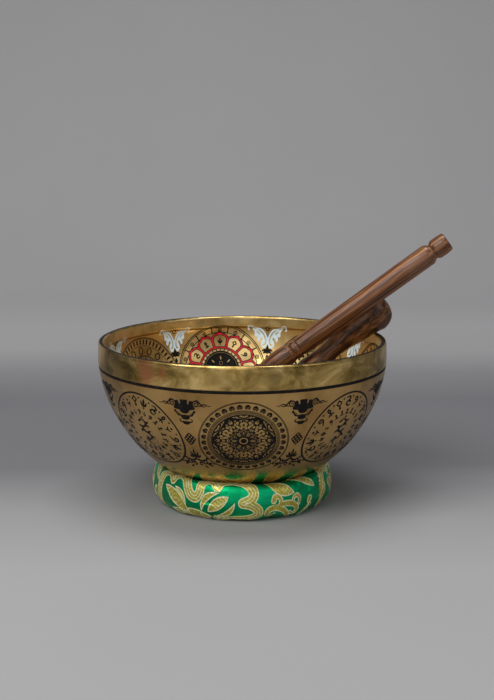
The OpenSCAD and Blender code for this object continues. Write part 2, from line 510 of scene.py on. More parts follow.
def spiral(cx, cy, r0, r1, a0, a1, n=22):
    a = np.radians(np.linspace(a0, a1, n))
    r = np.linspace(r0, r1, n)
    return np.stack([cx + r * np.cos(a), cy + r * np.sin(a)], -1)


def polar(*ar):
    """Points from (angle in degrees, radius)."""
    return np.array([[r * math.cos(rad(a)), r * math.sin(rad(a))] for a, r in ar])


def contours(F):
    """Closed loops of F = 0 in grid units, with the inside (F < 0) on the left."""
    F = np.where(F == 0, 1e-9, F)
    F = np.pad(F, 1, constant_values=1.0)
    ny, nx = F.shape
    s = F < 0
    code = s[:-1, :-1] + 2 * s[:-1, 1:] + 4 * s[1:, 1:] + 8 * s[1:, :-1]
    H = ny * nx
    nxt = {}
    table = {1: [(0, 3)], 2: [(1, 0)], 3: [(1, 3)], 4: [(2, 1)], 5: [(0, 3), (2, 1)], 6: [(2, 0)], 7: [(2, 3)], 8: [(3, 2)],
             9: [(0, 2)], 10: [(1, 0), (3, 2)], 11: [(1, 2)], 12: [(3, 1)], 13: [(0, 1)], 14: [(3, 0)]}
    for c, segs in table.items():
        jj, ii = np.nonzero(code == c)
        if not len(jj):
            continue
        base = jj * nx + ii
        edge = [base, H + base + 1, base + nx, H + base]
        for a, b in segs:
            nxt.update(zip(edge[a].tolist(), edge[b].tolist()))
    loops = []
    Ff = F.ravel()
    while nxt:
        start, e = nxt.popitem()
        loop = [start]
        while e != start:
            loop.append(e)
            e = nxt.pop(e)
        ids = np.array(loop)
        vert = ids >= H
        base = np.where(vert, ids - H, ids)
        other = base + np.where(vert, nx, 1)
        t = Ff[base] / (Ff[base] - Ff[other])
        x = base % nx + np.where(vert, 0, t) - 1
        y = base // nx + np.where(vert, t, 0) - 1
        loops.append(np.stack([x, y], -1))
    return loops


def thin(loop, tol):
    """Douglas-Peucker on a closed loop."""
    n = len(loop)
    if n < 5:
        return loop
    far = int(np.argmax(((loop - loop[0]) ** 2).sum(1)))
    keep = {0, far}
    P = np.concatenate([loop, loop[:1]])
    stack = [(0, far), (far, n)]
    while stack:
        a, b = stack.pop()
        if b - a < 2:
            continue
        d = P[b] - P[a]
        L = math.hypot(d[0], d[1])
        q = P[a + 1:b] - P[a]
        e = np.abs(q[:, 0] * d[1] - q[:, 1] * d[0]) / L if L > 1e-9 else np.hypot(q[:, 0], q[:, 1])
        k = int(np.argmax(e))
        if e[k] > tol:
            k += a + 1
            keep.add(k)
            stack += [(a, k), (k, b)]
    return loop[sorted(keep)]


def cut_out(art, tol=0.03, pitch=3.0, min_area=0.08, fine=None):
    """Triangles of the inked area: points in mm and triangles."""
    pts, edges = [], []
    for loop in contours(art.F):
        q = loop * art.h + (art.x0, art.y0)
        x, y = q[:, 0], q[:, 1]
        if abs(0.5 * (x * np.roll(y, -1) - y * np.roll(x, -1)).sum()) < min_area:
            continue
        q = thin(q, tol)
        if len(q) < 3:
            continue
        out = []
        for a, b in zip(q, np.roll(q, -1, 0)):
            step = fine[1] if fine and max(a[1], b[1]) > fine[0] else pitch
            k = max(1, int(math.ceil(math.hypot(*(b - a)) / step)))
            out += [a + (b - a) * i / k for i in range(k)]
        base = len(pts)
        pts += [tuple(p) for p in out]
        edges += [(base + i, base + (i + 1) % len(out)) for i in range(len(out))]
    if not pts:
        return np.zeros((0, 2)), np.zeros((0, 3), int)
    gx, gy = np.meshgrid(np.arange(art.x0, art.x0 + art.nx * art.h, pitch), np.arange(art.y0, art.y0 + art.ny * art.h, pitch * 0.87))
    gx = gx + (np.arange(gx.shape[0]) % 2)[:, None] * pitch / 2 + 0.013 * np.sin(gy * 7)
    i = np.clip(((gx - art.x0) / art.h).astype(int), 0, art.nx - 1)
    j = np.clip(((gy - art.y0) / art.h).astype(int), 0, art.ny - 1)
    ok = art.F[j, i] < -0.95
    pts += list(zip(gx[ok].tolist(), gy[ok].tolist()))
    vs, es, fs, _, oe, _ = delaunay_2d_cdt([Vector(p) for p in pts], edges, [], 0, 1e-6, True)
    P = np.array([(v[0], v[1]) for v in vs])
    walls = {tuple(sorted(e)) for e, o in zip(es, oe) if len(o)}
    owner = {}
    for k, f in enumerate(fs):
        for a, b in ((f[0], f[1]), (f[1], f[2]), (f[2], f[0])):
            owner.setdefault((a, b) if a < b else (b, a), []).append(k)
    state = [None] * len(fs)
    stack = []
    for e, ks in owner.items():
        if len(ks) == 1 and state[ks[0]] is None:
            state[ks[0]] = e in walls
            stack.append(ks[0])
    while stack:
        k = stack.pop()
        f = fs[k]
        for a, b in ((f[0], f[1]), (f[1], f[2]), (f[2], f[0])):
            e = (a, b) if a < b else (b, a)
            for m in owner[e]:
                if state[m] is None:
                    state[m] = (not state[k]) if e in walls else state[k]
                    stack.append(m)
    T = np.array([f for f, s in zip(fs, state) if s], int).reshape(-1, 3)
    if not len(T):
        return np.zeros((0, 2)), T
    a, b, c = P[T[:, 0]], P[T[:, 1]], P[T[:, 2]]
    area = (b[:, 0] - a[:, 0]) * (c[:, 1] - a[:, 1]) - (b[:, 1] - a[:, 1]) * (c[:, 0] - a[:, 0])
    T[area < 0] = T[area < 0][:, ::-1]
    used = np.unique(T)
    back = np.full(len(P), -1)
    back[used] = np.arange(len(used))
    return P[used], back[T]


def slab(P, T, place, hi, lo):
    """A closed inlay: the triangles at height hi, again at lo, and walls between."""
    n = len(P)
    top, low = place(P, hi), place(P, lo)
    E = np.concatenate([T[:, [0, 1]], T[:, [1, 2]], T[:, [2, 0]]])
    key = set(map(tuple, E.tolist()))
    rim = np.array([(a, b) for a, b in E.tolist() if (b, a) not in key], int).reshape(-1, 2)
    walls = np.stack([rim[:, 0], rim[:, 0] + n, rim[:, 1] + n, rim[:, 1]], -1)
    return np.concatenate([top, low]), T.tolist() + (T[:, ::-1] + n).tolist() + walls.tolist()


def inlay(name, parts, material, body):
    """parts: (points, triangles, place function, top height, bottom height)."""
    V, F, base = [], [], 0
    for P, T, place, hi, lo in parts:
        if not len(T):
            continue
        v, f = slab(P, T, place, hi, lo)
        V.append(v)
        F += [[i + base for i in q] for q in f]
        base += len(v)
    ob = new_object(name, np.concatenate(V), F, material, sharp=rad(40))
    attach(ob, body)
    return ob


# ---------------------------------------------------------------- ring cushion
HOLE, OUTER_R, CUSH_H = 45.0, 89.0, 36.0
RING_R, RING_W, RING_Z, SAG, RN = 67.0, 22.0, 18.5, 1.5, 2.35
END_SEAM = rad(-31)
STITCHES = 40


def under_limit(r, g):
    """Height of the bowl's underside at radius r, less a gap g."""
    t = np.interp(r, _r[::-1], _t[::-1])
    nz = np.interp(t, _t, _nz)
    return np.interp(t, _t, _z) + g * nz


def ring_section(a, g):
    c, s = np.cos(a), np.sin(a)
    r = RING_R + (RING_W - g) * np.sign(c) * np.abs(c) ** (2 / RN)
    hz = np.where(s < 0, RING_Z + SAG, CUSH_H - RING_Z) - g
    z = RING_Z + hz * np.sign(s) * np.abs(s) ** (2 / RN)
    return r, np.maximum(g, np.minimum(z, under_limit(r, 0.35 + g)))


SECTION_LEN = 123.45


def even_angles(n, g):
    a = np.linspace(0, TAU, 4001)
    r, z = ring_section(a, g)
    L = np.concatenate([[0], np.cumsum(np.hypot(np.diff(r), np.diff(z)))])
    return np.interp(np.arange(n) / n * L[-1], L, a), L[-1]


CU, CV = 200, 52
cu_ang = np.arange(CU) / CU * TAU + END_SEAM
cv_ang, _ = even_angles(CV, 1.3)
_rr, _zz = ring_section(cv_ang, 1.3)
base_grid = np.stack([_rr[None] * np.cos(cu_ang)[:, None], _rr[None] * np.sin(cu_ang)[:, None], np.repeat(_zz[None], CU, 0)], -1)
close_row = int(np.argmin(np.abs(cv_ang - rad(200))))


def simulate_cover(grid):
    """Swells the sewn tube by cloth simulation: held along its two seams, against the bowl and the floor."""
    n = CU * CV
    idx = np.arange(n).reshape(CU, CV)
    quads = np.stack([idx, np.roll(idx, -1, 0), np.roll(np.roll(idx, -1, 0), -1, 1), np.roll(idx, -1, 1)], -1).reshape(-1, 4)
    g = np.random.default_rng(3)
    start = grid.copy()
    # gathers along the closing seam, before the tube is filled
    dv = np.abs((np.arange(CV) - close_row + CV / 2) % CV - CV / 2)
    amp = 0.8 * np.exp(-(dv / 4.0) ** 2)
    k = np.arange(CU)
    start[..., 2] += amp[None] * np.cos(k / 5 * TAU)[:, None]
    start[..., 0] += (amp[None] * 0.6 * np.cos(k / 5 * TAU)[:, None]) * np.cos(cu_ang)[:, None]
    start[..., 1] += (amp[None] * 0.6 * np.cos(k / 5 * TAU)[:, None]) * np.sin(cu_ang)[:, None]
    start += g.normal(0, 0.015, start.shape)
    ob = new_object("cover_sim", start.reshape(-1, 3) * MM, quads)
    pins = ob.vertex_groups.new(name="pin")
    pins.add([int(i) for i in idx[::5, close_row]], 1.0, "REPLACE")
    pins.add([int(i) for i in idx[0, ::2]], 0.9, "REPLACE")
    tt = np.linspace(0.35, 0.999, 26)
    br, bz = low_side(tt)
    bnr, bnz = low_normal(tt)
    m = 72
    ba = np.arange(m) / m * TAU
    bp = np.concatenate([np.stack([(r + 0.2 * nr) * np.cos(ba), (r + 0.2 * nr) * np.sin(ba), np.full(m, z + 0.2 * nz)], -1) for r, z, nr, nz in zip(br, bz, bnr, bnz)])
    bi = np.arange(26 * m).reshape(26, m)
    bf = np.stack([bi[:-1], bi[1:], np.roll(bi, -1, 1)[1:], np.roll(bi, -1, 1)[:-1]], -1).reshape(-1, 4)
    wall = new_object("sim_bowl", bp * MM, bf)
    ground = new_object("sim_floor", [(-0.3, -0.3, 0), (0.3, -0.3, 0), (0.3, 0.3, 0), (-0.3, 0.3, 0)], [(0, 1, 2, 3)])
    for o in (wall, ground):
        o.modifiers.new("hit", "COLLISION")
        o.collision.thickness_outer = 0.0003
    c = ob.modifiers.new("cloth", "CLOTH")
    s = c.settings
    s.quality = 5
    s.mass = 0.25
    s.tension_stiffness = s.compression_stiffness = 12
    s.shear_stiffness = 6
    s.bending_stiffness = 0.6
    s.use_pressure = True
    s.uniform_pressure_force = 4.0
    s.effector_weights.gravity = 0.0
    s.vertex_group_mass = "pin"
    s.shrink_min = -0.02
    c.collision_settings.distance_min = 0.0004
    c.point_cache.frame_start, c.point_cache.frame_end = 1, 20
    sc = bpy.context.scene
    for f in range(1, 21):
        sc.frame_set(f)
    dg = bpy.context.evaluated_depsgraph_get()
    ev = ob.evaluated_get(dg).to_mesh()
    co = np.zeros(n * 3)
    ev.vertices.foreach_get("co", co)
    for o in (ob, wall, ground):
        bpy.data.objects.remove(o, do_unlink=True)
    sc.frame_set(1)
    return co.reshape(CU, CV, 3) / MM


def fitted(grid, home, cap):
    """Caps how far the cloth moved, then keeps it off the bowl and on the floor."""
    d = grid - home
    L = np.linalg.norm(d, axis=-1, keepdims=True)
    grid = home + d * np.minimum(1, cap / np.maximum(L, 1e-9))
    r = np.hypot(grid[..., 0], grid[..., 1])
    lim = under_limit(np.clip(r, 1, 139), 0.32)
    upper = grid[..., 2] > 14
    grid[..., 2] = np.where(upper, np.minimum(grid[..., 2], lim), grid[..., 2])
    z = grid[..., 2]
    grid[..., 2] = np.maximum(z - 0.28 * np.exp(-np.maximum(z - 0.3, 0) / 1.5), 0.02)
    return grid


def refine(grid, ku, kv):
    """Bicubic, closed both ways."""
    def up(g, k, axis):
        out = []
        p = [np.roll(g, 1 - i, axis) for i in range(4)]  # previous, here, next, after
        for j in range(k):
            t = j / k
            w = (-0.5 * t**3 + t**2 - 0.5 * t, 1.5 * t**3 - 2.5 * t**2 + 1, -1.5 * t**3 + 2 * t**2 + 0.5 * t, 0.5 * t**3 - 0.5 * t**2)
            out.append(sum(wi * pi for wi, pi in zip(w, p)))
        st = np.stack(out, axis + 1)
        shape = list(g.shape)
        shape[axis] *= k
        return st.reshape(shape)
    return up(up(grid, ku, 0), kv, 1)


def grid_normals(g):
    du = np.roll(g, -1, 0) - np.roll(g, 1, 0)
    dv = np.roll(g, -1, 1) - np.roll(g, 1, 1)
    n = np.cross(du, dv)
    return n / np.maximum(np.linalg.norm(n, axis=-1, keepdims=True), 1e-12)


rr0, zz0 = ring_section(cv_ang, 0.3)
# the stuffing swells out round the foot of the bowl
_swell = np.exp(-((np.degrees(cv_ang) - 50) / 24.0) ** 2)
rr0, zz0 = rr0 + 3.4 * _swell * np.cos(rad(58)), zz0 + 3.6 * _swell * np.sin(rad(58))
full_grid = np.stack([rr0[None] * np.cos(cu_ang)[:, None], rr0[None] * np.sin(cu_ang)[:, None], np.repeat(zz0[None], CU, 0)], -1)


def creased(grid):
    """Keeps the creases and dimples of the simulated cloth on a ring of the measured section."""
    radial = np.stack([np.cos(cu_ang), np.sin(cu_ang)], -1)[:, None]
    dr = np.hypot(grid[..., 0], grid[..., 1]) - np.hypot(full_grid[..., 0], full_grid[..., 1])
    dz = grid[..., 2] - full_grid[..., 2]
    slip = ((grid - full_grid)[..., :2] * np.concatenate([-radial[..., 1:], radial[..., :1]], -1)).sum(-1)
    dr = dr - dr.mean(0, keepdims=True)
    dz = dz - dz.mean(0, keepdims=True)
    out = full_grid.copy()
    out[..., :2] += radial * (0.75 * dr)[..., None] + np.concatenate([-radial[..., 1:], radial[..., :1]], -1) * (0.5 * slip)[..., None]
    out[..., 2] += 0.75 * dz
    return out


sim = creased(simulate_cover(base_grid))
cover = refine(fitted(sim, full_grid, 1.6), 2, 2)
FU, FV = cover.shape[:2]
fu = np.arange(FU) / FU            # 0 at the end seam, once round
fv = np.interp(np.arange(FV) / 2, np.arange(CV + 1), np.append(cv_ang, TAU))
nrm = grid_normals(cover)
# seams pulled in: across the tube where its ends meet, and along the hole where it is closed
along = (fu + 0.5) % 1 - 0.5
d_end = along * TAU * 78
pull = 1.5 * np.exp(-(d_end / 1.5) ** 2) - 0.55 * np.exp(-((np.abs(d_end) - 4.2) / 2.4) ** 2)
dvf = ((np.arange(FV) - close_row * 2 + FV / 2) % FV - FV / 2) * 1.25
tuck = 1.3 * np.exp(-(dvf / 1.6) ** 2)
scallop = 0.5 + 0.5 * np.cos(fu * STITCHES * TAU)
cover = cover - nrm * (pull[:, None] + tuck[None] * (0.45 + 0.55 * scallop[:, None]))[..., None]
# the soft, uneven way a stuffed tube lies
lump = waves(21, 30, 90, 14)
cover = cover + nrm * (0.32 * wave_field(lump, (fu * TAU)[:, None], (fv * 20)[None]))[..., None]
cover = fitted(cover, cover, 99)
nrm = grid_normals(cover)


def cover_point(theta, a, off):
    """A point on the cover at turn angle theta and section angle a, and off mm above it."""
    u = ((np.asarray(theta) - END_SEAM) / TAU % 1) * FU
    v = np.interp(np.asarray(a) % TAU, np.append(fv, TAU), np.arange(FV + 1))
    i, j = np.floor(u).astype(int), np.floor(v).astype(int)
    fx, fy = (u - i)[..., None], (v - j)[..., None]
    i, j = i % FU, j % FV
    i1, j1 = (i + 1) % FU, (j + 1) % FV
    def mixd(g):
        return (g[i, j] * (1 - fx) + g[i1, j] * fx) * (1 - fy) + (g[i, j1] * (1 - fx) + g[i1, j1] * fx) * fy
    n = mixd(nrm)
    n = n / np.linalg.norm(n, axis=-1, keepdims=True)
    p = mixd(cover) + n * np.asarray(off)[..., None]
    p[..., 2] = np.maximum(p[..., 2], 0.004)
    return p * MM


def cloth_place(u0):
    """For cloth art: x runs round the cushion from u0 mm past the front, y up its outside."""
    def place(P, off):
        th = -math.pi / 2 + (P[:, 0] + u0) / OUTER_R
        w = (P[:, 1] / SECTION_LEN % 1) * FV
        return cover_point(th, np.interp(w, np.arange(FV + 1), np.append(fv, TAU)), off)
    return place


def closed_grid(g, flip=False):
    a, b = g.shape[:2]
    idx = np.arange(a * b).reshape(a, b)
    q = np.stack([idx, np.roll(idx, -1, 0), np.roll(np.roll(idx, -1, 0), -1, 1), np.roll(idx, -1, 1)], -1).reshape(-1, 4)
    return g.reshape(-1, 3), q[:, ::-1] if flip else q


def build_cover(mat):
    v, q = closed_grid(cover * MM)
    inner = (cover - nrm * 1.0)[::2, ::2]
    v2, q2 = closed_grid(inner * MM, flip=True)
    ob = new_object("brocade_cover", np.concatenate([v, v2]), np.concatenate([q, q2 + len(v)]), mat)
    uu, vv = np.meshgrid(fu * TAU * OUTER_R, np.arange(FV) * 1.25, indexing="ij")
    st = np.stack([uu, vv, 0 * uu], -1)
    vector_attribute(ob, "cloth", np.concatenate([st.reshape(-1, 3), st[::2, ::2].reshape(-1, 3)]) * MM)
    return ob


def build_filling(mat):
    g = (cover - nrm * 1.9)[::2, ::2]
    n = nrm[::2, ::2]
    w = waves(31, 9, 22, 26)
    g = g + n * (0.35 * wave_field(w, (fu[::2] * TAU)[:, None], (np.arange(0, FV, 2) * 1.25)[None]) - 0.35)[..., None]
    v, q = closed_grid(g * MM)
    return new_object("cotton_filling", v, q, mat)


def stitch_bars(name, paths, radius, mat, seg=8):
    V, F = [], []
    for p in paths:
        p = np.asarray(p)
        t = np.gradient(p, axis=0)
        t /= np.linalg.norm(t, axis=1, keepdims=True)
        ref = np.array([0.3, 0.5, 0.81])
        x = np.cross(t, ref)
        x /= np.linalg.norm(x, axis=1, keepdims=True)
        y = np.cross(t, x)
        a = np.arange(seg) / seg * TAU
        n = len(p)
        rr = np.array([0.55] + [1.0] * (n - 2) + [0.55]) * radius
        rings = p[:, None] + rr[:, None, None] * (np.cos(a)[None, :, None] * x[:, None] + np.sin(a)[None, :, None] * y[:, None])
        b = sum(len(v) for v in V)
        V.append(np.concatenate([rings.reshape(-1, 3), p[:1], p[-1:]]))
        i = np.arange(n * seg).reshape(n, seg) + b
        nx = np.roll(i, -1, 1)
        F += np.stack([i[:-1], nx[:-1], nx[1:], i[1:]], -1).reshape(-1, 4).tolist()
        s, e = b + n * seg, b + n * seg + 1
        F += [(s, int(nx[0, k]), int(i[0, k])) for k in range(seg)] + [(e, int(i[-1, k]), int(nx[-1, k])) for k in range(seg)]
    return new_object(name, np.concatenate(V), F, mat)


# ---------------------------------------------------------------- turned mallets
STRIKER = dict(tip=(-82.9, 16, 46.8), az=-4.6, el=36.7, st=[
    (0, 2), (1.2, 5.2), (4, 7.6), (9, 8.8), (20, 9), (110, 8.8), (128, 9), (140, 10.1), (149, 10.9), (158, 10.4),
    (163.2, 9.5), (165.2, 8.6), (166.4, 8.7), (167.4, 9.6), (169.2, 9.9), (171, 9.7), (172.2, 8.8), (173.4, 8.7), (174.8, 9.6), (230, 10.2), (300, 10.5),
    (326, 10.5), (329.5, 9.5), (332, 7.8), (332.7, 7.8), (334, 9), (337, 10), (342, 10), (348, 9.5), (349.4, 8.8), (350, 7.6)])
CLUB = dict(tip=(-39.6, -12.9, 27), az=14, el=41.9, st=[
    (0, 4), (1.5, 7.6), (5, 10.2), (11, 11.6), (30, 12.2), (80, 13.1), (120, 13.1), (146, 12.6), (160, 11), (172, 9.7),
    (178, 9.7), (188, 11.3), (205, 15.3), (225, 20.1), (231.4, 22), (236, 21.5), (240.7, 20), (244.6, 17.2), (247.6, 12.6),
    (249.2, 8), (250, 1.5)])


def turned_radius(st, s):
    P = np.array(st, float)
    h = np.diff(P[:, 0])
    sec = np.diff(P[:, 1]) / h
    m = np.empty(len(P))
    m[0], m[-1] = sec[0], sec[-1]
    a, b = sec[:-1], sec[1:]
    m[1:-1] = np.where(a * b <= 0, 0, 2 * a * b / np.where(a + b == 0, 1, a + b))
    i = np.clip(np.searchsorted(P[:, 0], s, side="right") - 1, 0, len(h) - 1)
    t = (s - P[i, 0]) / h[i]
    return (P[i, 1] * (1 + 2 * t) * (1 - t) ** 2 + h[i] * m[i] * t * (1 - t) ** 2 + P[i + 1, 1] * t * t * (3 - 2 * t)
            + h[i] * m[i + 1] * t * t * (t - 1))


def build_mallet(name, spec, mat, seed):
    st = spec["st"]
    L = st[-1][0]
    marks = np.array([p[0] for p in st])
    s = np.unique(np.round(np.concatenate([np.linspace(0, L, int(L / 1.1)), marks, np.linspace(0, 5, 16), L - np.linspace(0, 5, 16)]), 3))
    NA = 88
    ang = np.arange(NA) / NA * TAU
    r = turned_radius(st, s)
    w = waves(seed, 12, 60, 16)
    dent = 0.05 * wave_field(w, ang[None] * 1.0, s[:, None]) * np.clip(np.minimum(s, L - s) / 6, 0, 1)[:, None]
    rr = r[:, None] - 0.05 + np.clip(dent, -0.12, 0.05)
    local = np.stack([rr * np.cos(ang)[None], rr * np.sin(ang)[None], np.repeat(s[:, None], NA, 1)], -1).reshape(-1, 3)
    local = np.concatenate([local, [[0, 0, 0.0], [0, 0, L]]])
    e, a = rad(spec["el"]), rad(spec["az"])
    ez = np.array([math.cos(e) * math.cos(a), math.cos(e) * math.sin(a), math.sin(e)])
    ex = np.array([math.sin(e) * math.cos(a), math.sin(e) * math.sin(a), -math.cos(e)])
    ey = np.cross(ez, ex)
    P = (np.array(spec["tip"]) + local[:, :1] * ex + local[:, 1:2] * ey + local[:, 2:] * ez) * MM
    n = len(s)
    i = np.arange(n * NA).reshape(n, NA)
    nx = np.roll(i, -1, 1)
    F = np.stack([i[:-1], nx[:-1], nx[1:], i[1:]], -1).reshape(-1, 4).tolist()
    F += [(n * NA, int(nx[0, k]), int(i[0, k])) for k in range(NA)] + [(n * NA + 1, int(i[-1, k]), int(nx[-1, k])) for k in range(NA)]
    ob = new_object(name, P, F, mat, sharp=rad(35))
    vector_attribute(ob, "grain", local * MM)
    return ob


# ---------------------------------------------------------------- materials
def wall_at(a_deg, z, r=140.0):
    """A point on the wall: a_deg from the front towards +X."""
    a = rad(a_deg)
    return (r * MM * math.sin(a), -r * MM * math.cos(a), z * MM)


def height(m, co):
    sep = m.n("SeparateXYZ")
    m.link(co, sep.inputs[0])
    return sep.outputs[2]


def brass_outside():
    m = Nodes("aged_satin_brass")
    co = m.coord()
    z = height(m, co)
    big = m.noise(co, 14, 4, 0.55, 0.6)
    mid = m.noise(co, 46, 5, 0.6, 0.4)
    fine = m.noise(co, 420, 3, 0.6)
    body = m.ramp(big, [(0.30, (0.36, 0.205, 0.070)), (0.45, (0.47, 0.285, 0.105)), (0.56, (0.55, 0.345, 0.135)), (0.68, (0.50, 0.335, 0.125))])
    cloudy = m.noise(m.scaled(co, 26, 26, 44), 1.0, 4, 0.6, 0.8)
    band = m.ramp(cloudy, [(0.34, (0.17, 0.110, 0.030)), (0.44, (0.33, 0.222, 0.064)), (0.54, (0.58, 0.400, 0.140)), (0.64, (0.84, 0.600, 0.245))])
    col = m.mix(m.mapr(z, 0.1376, 0.1390, 0, 1), body, band)
    tone = m.ramp(mid, [(0.3, (0.84, 0.78, 0.70)), (0.5, (1.0, 1.0, 1.0)), (0.68, (1.08, 1.04, 0.94))])
    col = m.mix(1.0, col, tone, "MULTIPLY")
    # brown spots and specks of tarnish; the dark patches on the sides further down are painted shade
    speck = m.mapr(m.noise(co, 150, 4, 0.65), 0.62, 0.74, 0, 1, True)
    col = m.mix(m.math("MULTIPLY", speck, 0.12), col, (0.16, 0.09, 0.045))
    wob = m.math("MULTIPLY", m.math("SUBTRACT", m.noise(co, 55, 3), 0.5), 0.03)
    red = m.math("MAXIMUM", m.spot(co, wall_at(-37, 150), 0.018, 0.9, wob), m.spot(co, wall_at(-30, 149), 0.013, 0.9, wob))
    col = m.mix(m.math("MULTIPLY", red, 0.60), col, (0.54, 0.150, 0.080))
    amber = m.math("MAXIMUM", m.spot(co, wall_at(-68, 150), 0.017, 0.7, wob), m.spot(co, wall_at(-66, 128, 138), 0.016, 0.8, wob))
    amber = m.math("MAXIMUM", amber, m.spot(co, wall_at(118, 140), 0.02, 0.8, wob))
    col = m.mix(m.math("MULTIPLY", amber, 0.5), col, (0.55, 0.29, 0.03))
    dark = m.math("MAXIMUM", m.spot(co, wall_at(-52, 153), 0.026, 0.9, wob), m.spot(co, wall_at(150, 148), 0.03, 0.9, wob))
    dark = m.math("MAXIMUM", dark, m.spot(co, wall_at(76, 150), 0.022, 0.9, wob))
    dark = m.math("MAXIMUM", dark, m.math("MAXIMUM", m.spot(co, wall_at(-6, 146), 0.013, 0.9, wob), m.spot(co, wall_at(12, 147), 0.012, 0.9, wob)))
    # painted shade: darker patches on the left and right sides of the wall and at its back, standing in for the dark
    # reflections there
    for a_deg, z_mm, size in ((-86, 118, 0.034), (84, 122, 0.034), (78, 96, 0.024), (-80, 90, 0.026), (180, 100, 0.030)):
        dark = m.math("MAXIMUM", dark, m.spot(co, wall_at(a_deg, z_mm, 137), size, 0.95, wob))
    col = m.mix(m.math("MULTIPLY", dark, 0.42), col, (0.17, 0.115, 0.04))
    # the shoulder over the cushion is rubbed brighter than the wall
    low = m.mapr(z, 0.052, 0.034, 0, 1, True)
    rough = m.math("ADD", m.mapr(mid, 0.3, 0.7, 0.25, 0.36), m.mapr(fine, 0.3, 0.7, -0.04, 0.04))
    rough = m.math("SUBTRACT", rough, m.math("MULTIPLY", low, 0.19))
    scr = m.noise(m.scaled(co, 30, 30, 900), 1.0, 3, 0.6)
    h = m.math("ADD", m.math("MULTIPLY", fine, 0.4), m.math("MULTIPLY", scr, 0.25))
    h = m.math("ADD", h, m.math("MULTIPLY", mid, 0.8))
    return m.set(color=col, metal=1.0, rough=rough, normal=m.bump(h, 0.13, 0.0004))


def brass_inside():
    m = Nodes("golden_lacquered_brass")
    co = m.coord()
    z = height(m, co)
    big = m.noise(co, 16, 4, 0.6, 0.5)
    mid = m.noise(co, 60, 5, 0.6)
    fine = m.noise(co, 500, 3, 0.6)
    wall = m.ramp(big, [(0.30, (0.50, 0.320, 0.110)), (0.46, (0.72, 0.500, 0.195)), (0.60, (0.88, 0.655, 0.300)), (0.72, (0.84, 0.65, 0.31))])
    band = m.ramp(big, [(0.34, (0.48, 0.350, 0.130)), (0.46, (0.70, 0.530, 0.225)), (0.58, (0.88, 0.690, 0.330)), (0.70, (0.82, 0.65, 0.30))])
    col = m.mix(m.mapr(z, 0.1462, 0.1478, 0, 1), wall, band)
    col = m.mix(1.0, col, m.ramp(mid, [(0.3, (0.84, 0.80, 0.72)), (0.52, (1.0, 1.0, 1.0)), (0.7, (1.06, 1.03, 0.95))]), "MULTIPLY")
    # darker brown line just under the ledge
    ledge = m.math("MULTIPLY", m.mapr(z, 0.1455, 0.1468, 0, 1, True), m.mapr(z, 0.1492, 0.1478, 0, 1, True))
    col = m.mix(m.math("MULTIPLY", ledge, 0.55), col, (0.13, 0.065, 0.018))
    speck = m.mapr(m.noise(co, 210, 4, 0.7), 0.62, 0.74, 0, 1, True)
    col = m.mix(m.math("MULTIPLY", speck, 0.10), col, (0.20, 0.10, 0.03))
    dents = m.voronoi(co, 48, "SMOOTH_F1")
    h = m.math("ADD", m.math("MULTIPLY", dents, 0.9), m.math("MULTIPLY", fine, 0.12))
    rough = m.math("ADD", m.mapr(mid, 0.3, 0.7, 0.27, 0.38), m.mapr(fine, 0.3, 0.7, -0.03, 0.04))
    return m.set(color=col, metal=0.90, rough=rough, normal=m.bump(h, 0.16, 0.0008))


def black_enamel(name="black_enamel", tone=(0.0045, 0.0036, 0.0032), worn=(0.022, 0.015, 0.009)):
    m = Nodes(name)
    co = m.coord()
    n = m.noise(co, 260, 4, 0.6)
    col = m.mix(m.mapr(n, 0.5, 0.72, 0, 1, True), tone, worn)
    return m.set(color=col, metal=0.0, rough=m.mapr(m.noise(co, 900, 2), 0.3, 0.7, 0.5, 0.7), spec=0.16,
                 normal=m.bump(n, 0.12, 0.0002))


def enamel(name, tone, deep, rough=0.34):
    m = Nodes(name)
    co = m.coord()
    n = m.noise(co, 180, 4, 0.6)
    col = m.mix(m.mapr(n, 0.35, 0.7, 0, 1, True), tone, deep)
    return m.set(color=col, metal=0.0, rough=m.mapr(n, 0.3, 0.7, rough - 0.06, rough + 0.1), normal=m.bump(n, 0.1, 0.0002))


def satin():
    m = Nodes("emerald_satin")
    co = m.coord("cloth")
    ob = m.coord()
    sep = m.n("SeparateXYZ")
    m.link(co, sep.inputs[0])
    wave_u = m.math("SINE", m.math("MULTIPLY", sep.outputs[0], TAU / 0.0009))
    wave_v = m.math("SINE", m.math("MULTIPLY", sep.outputs[1], TAU / 0.0007))
    streak = m.noise(m.scaled(co, 60, 1400, 1), 1.0, 3, 0.6)
    slub = m.noise(m.scaled(co, 900, 70, 1), 1.0, 3, 0.6)
    broad = m.noise(ob, 30, 3, 0.5)
    col = m.ramp(broad, [(0.3, (0.0, 0.22, 0.075)), (0.5, (0.002, 0.42, 0.155)), (0.68, (0.006, 0.62, 0.26))])
    # the streaks lighten and darken the green: partly the thread's own colour, partly painted sheen
    col = m.mix(1.0, col, m.ramp(streak, [(0.3, (0.72, 0.78, 0.74)), (0.6, (1.0, 1.0, 1.0)), (0.8, (1.25, 1.15, 1.2))]), "MULTIPLY")
    col = m.mix(m.mapr(slub, 0.62, 0.8, 0, 0.5, True), col, (0.01, 0.38, 0.15))
    h = m.math("ADD", m.math("MULTIPLY", wave_u, 0.25), m.math("MULTIPLY", wave_v, 0.35))
    h = m.math("ADD", h, m.math("MULTIPLY", streak, 1.0))
    return m.set(color=col, metal=0.86, rough=m.mapr(streak, 0.3, 0.7, 0.27, 0.40), spec=0.2, sheen=0.05, sheen_rough=0.4,
                 sheen_tint=(0.25, 1.0, 0.55), normal=m.bump(h, 0.3, 0.00025))


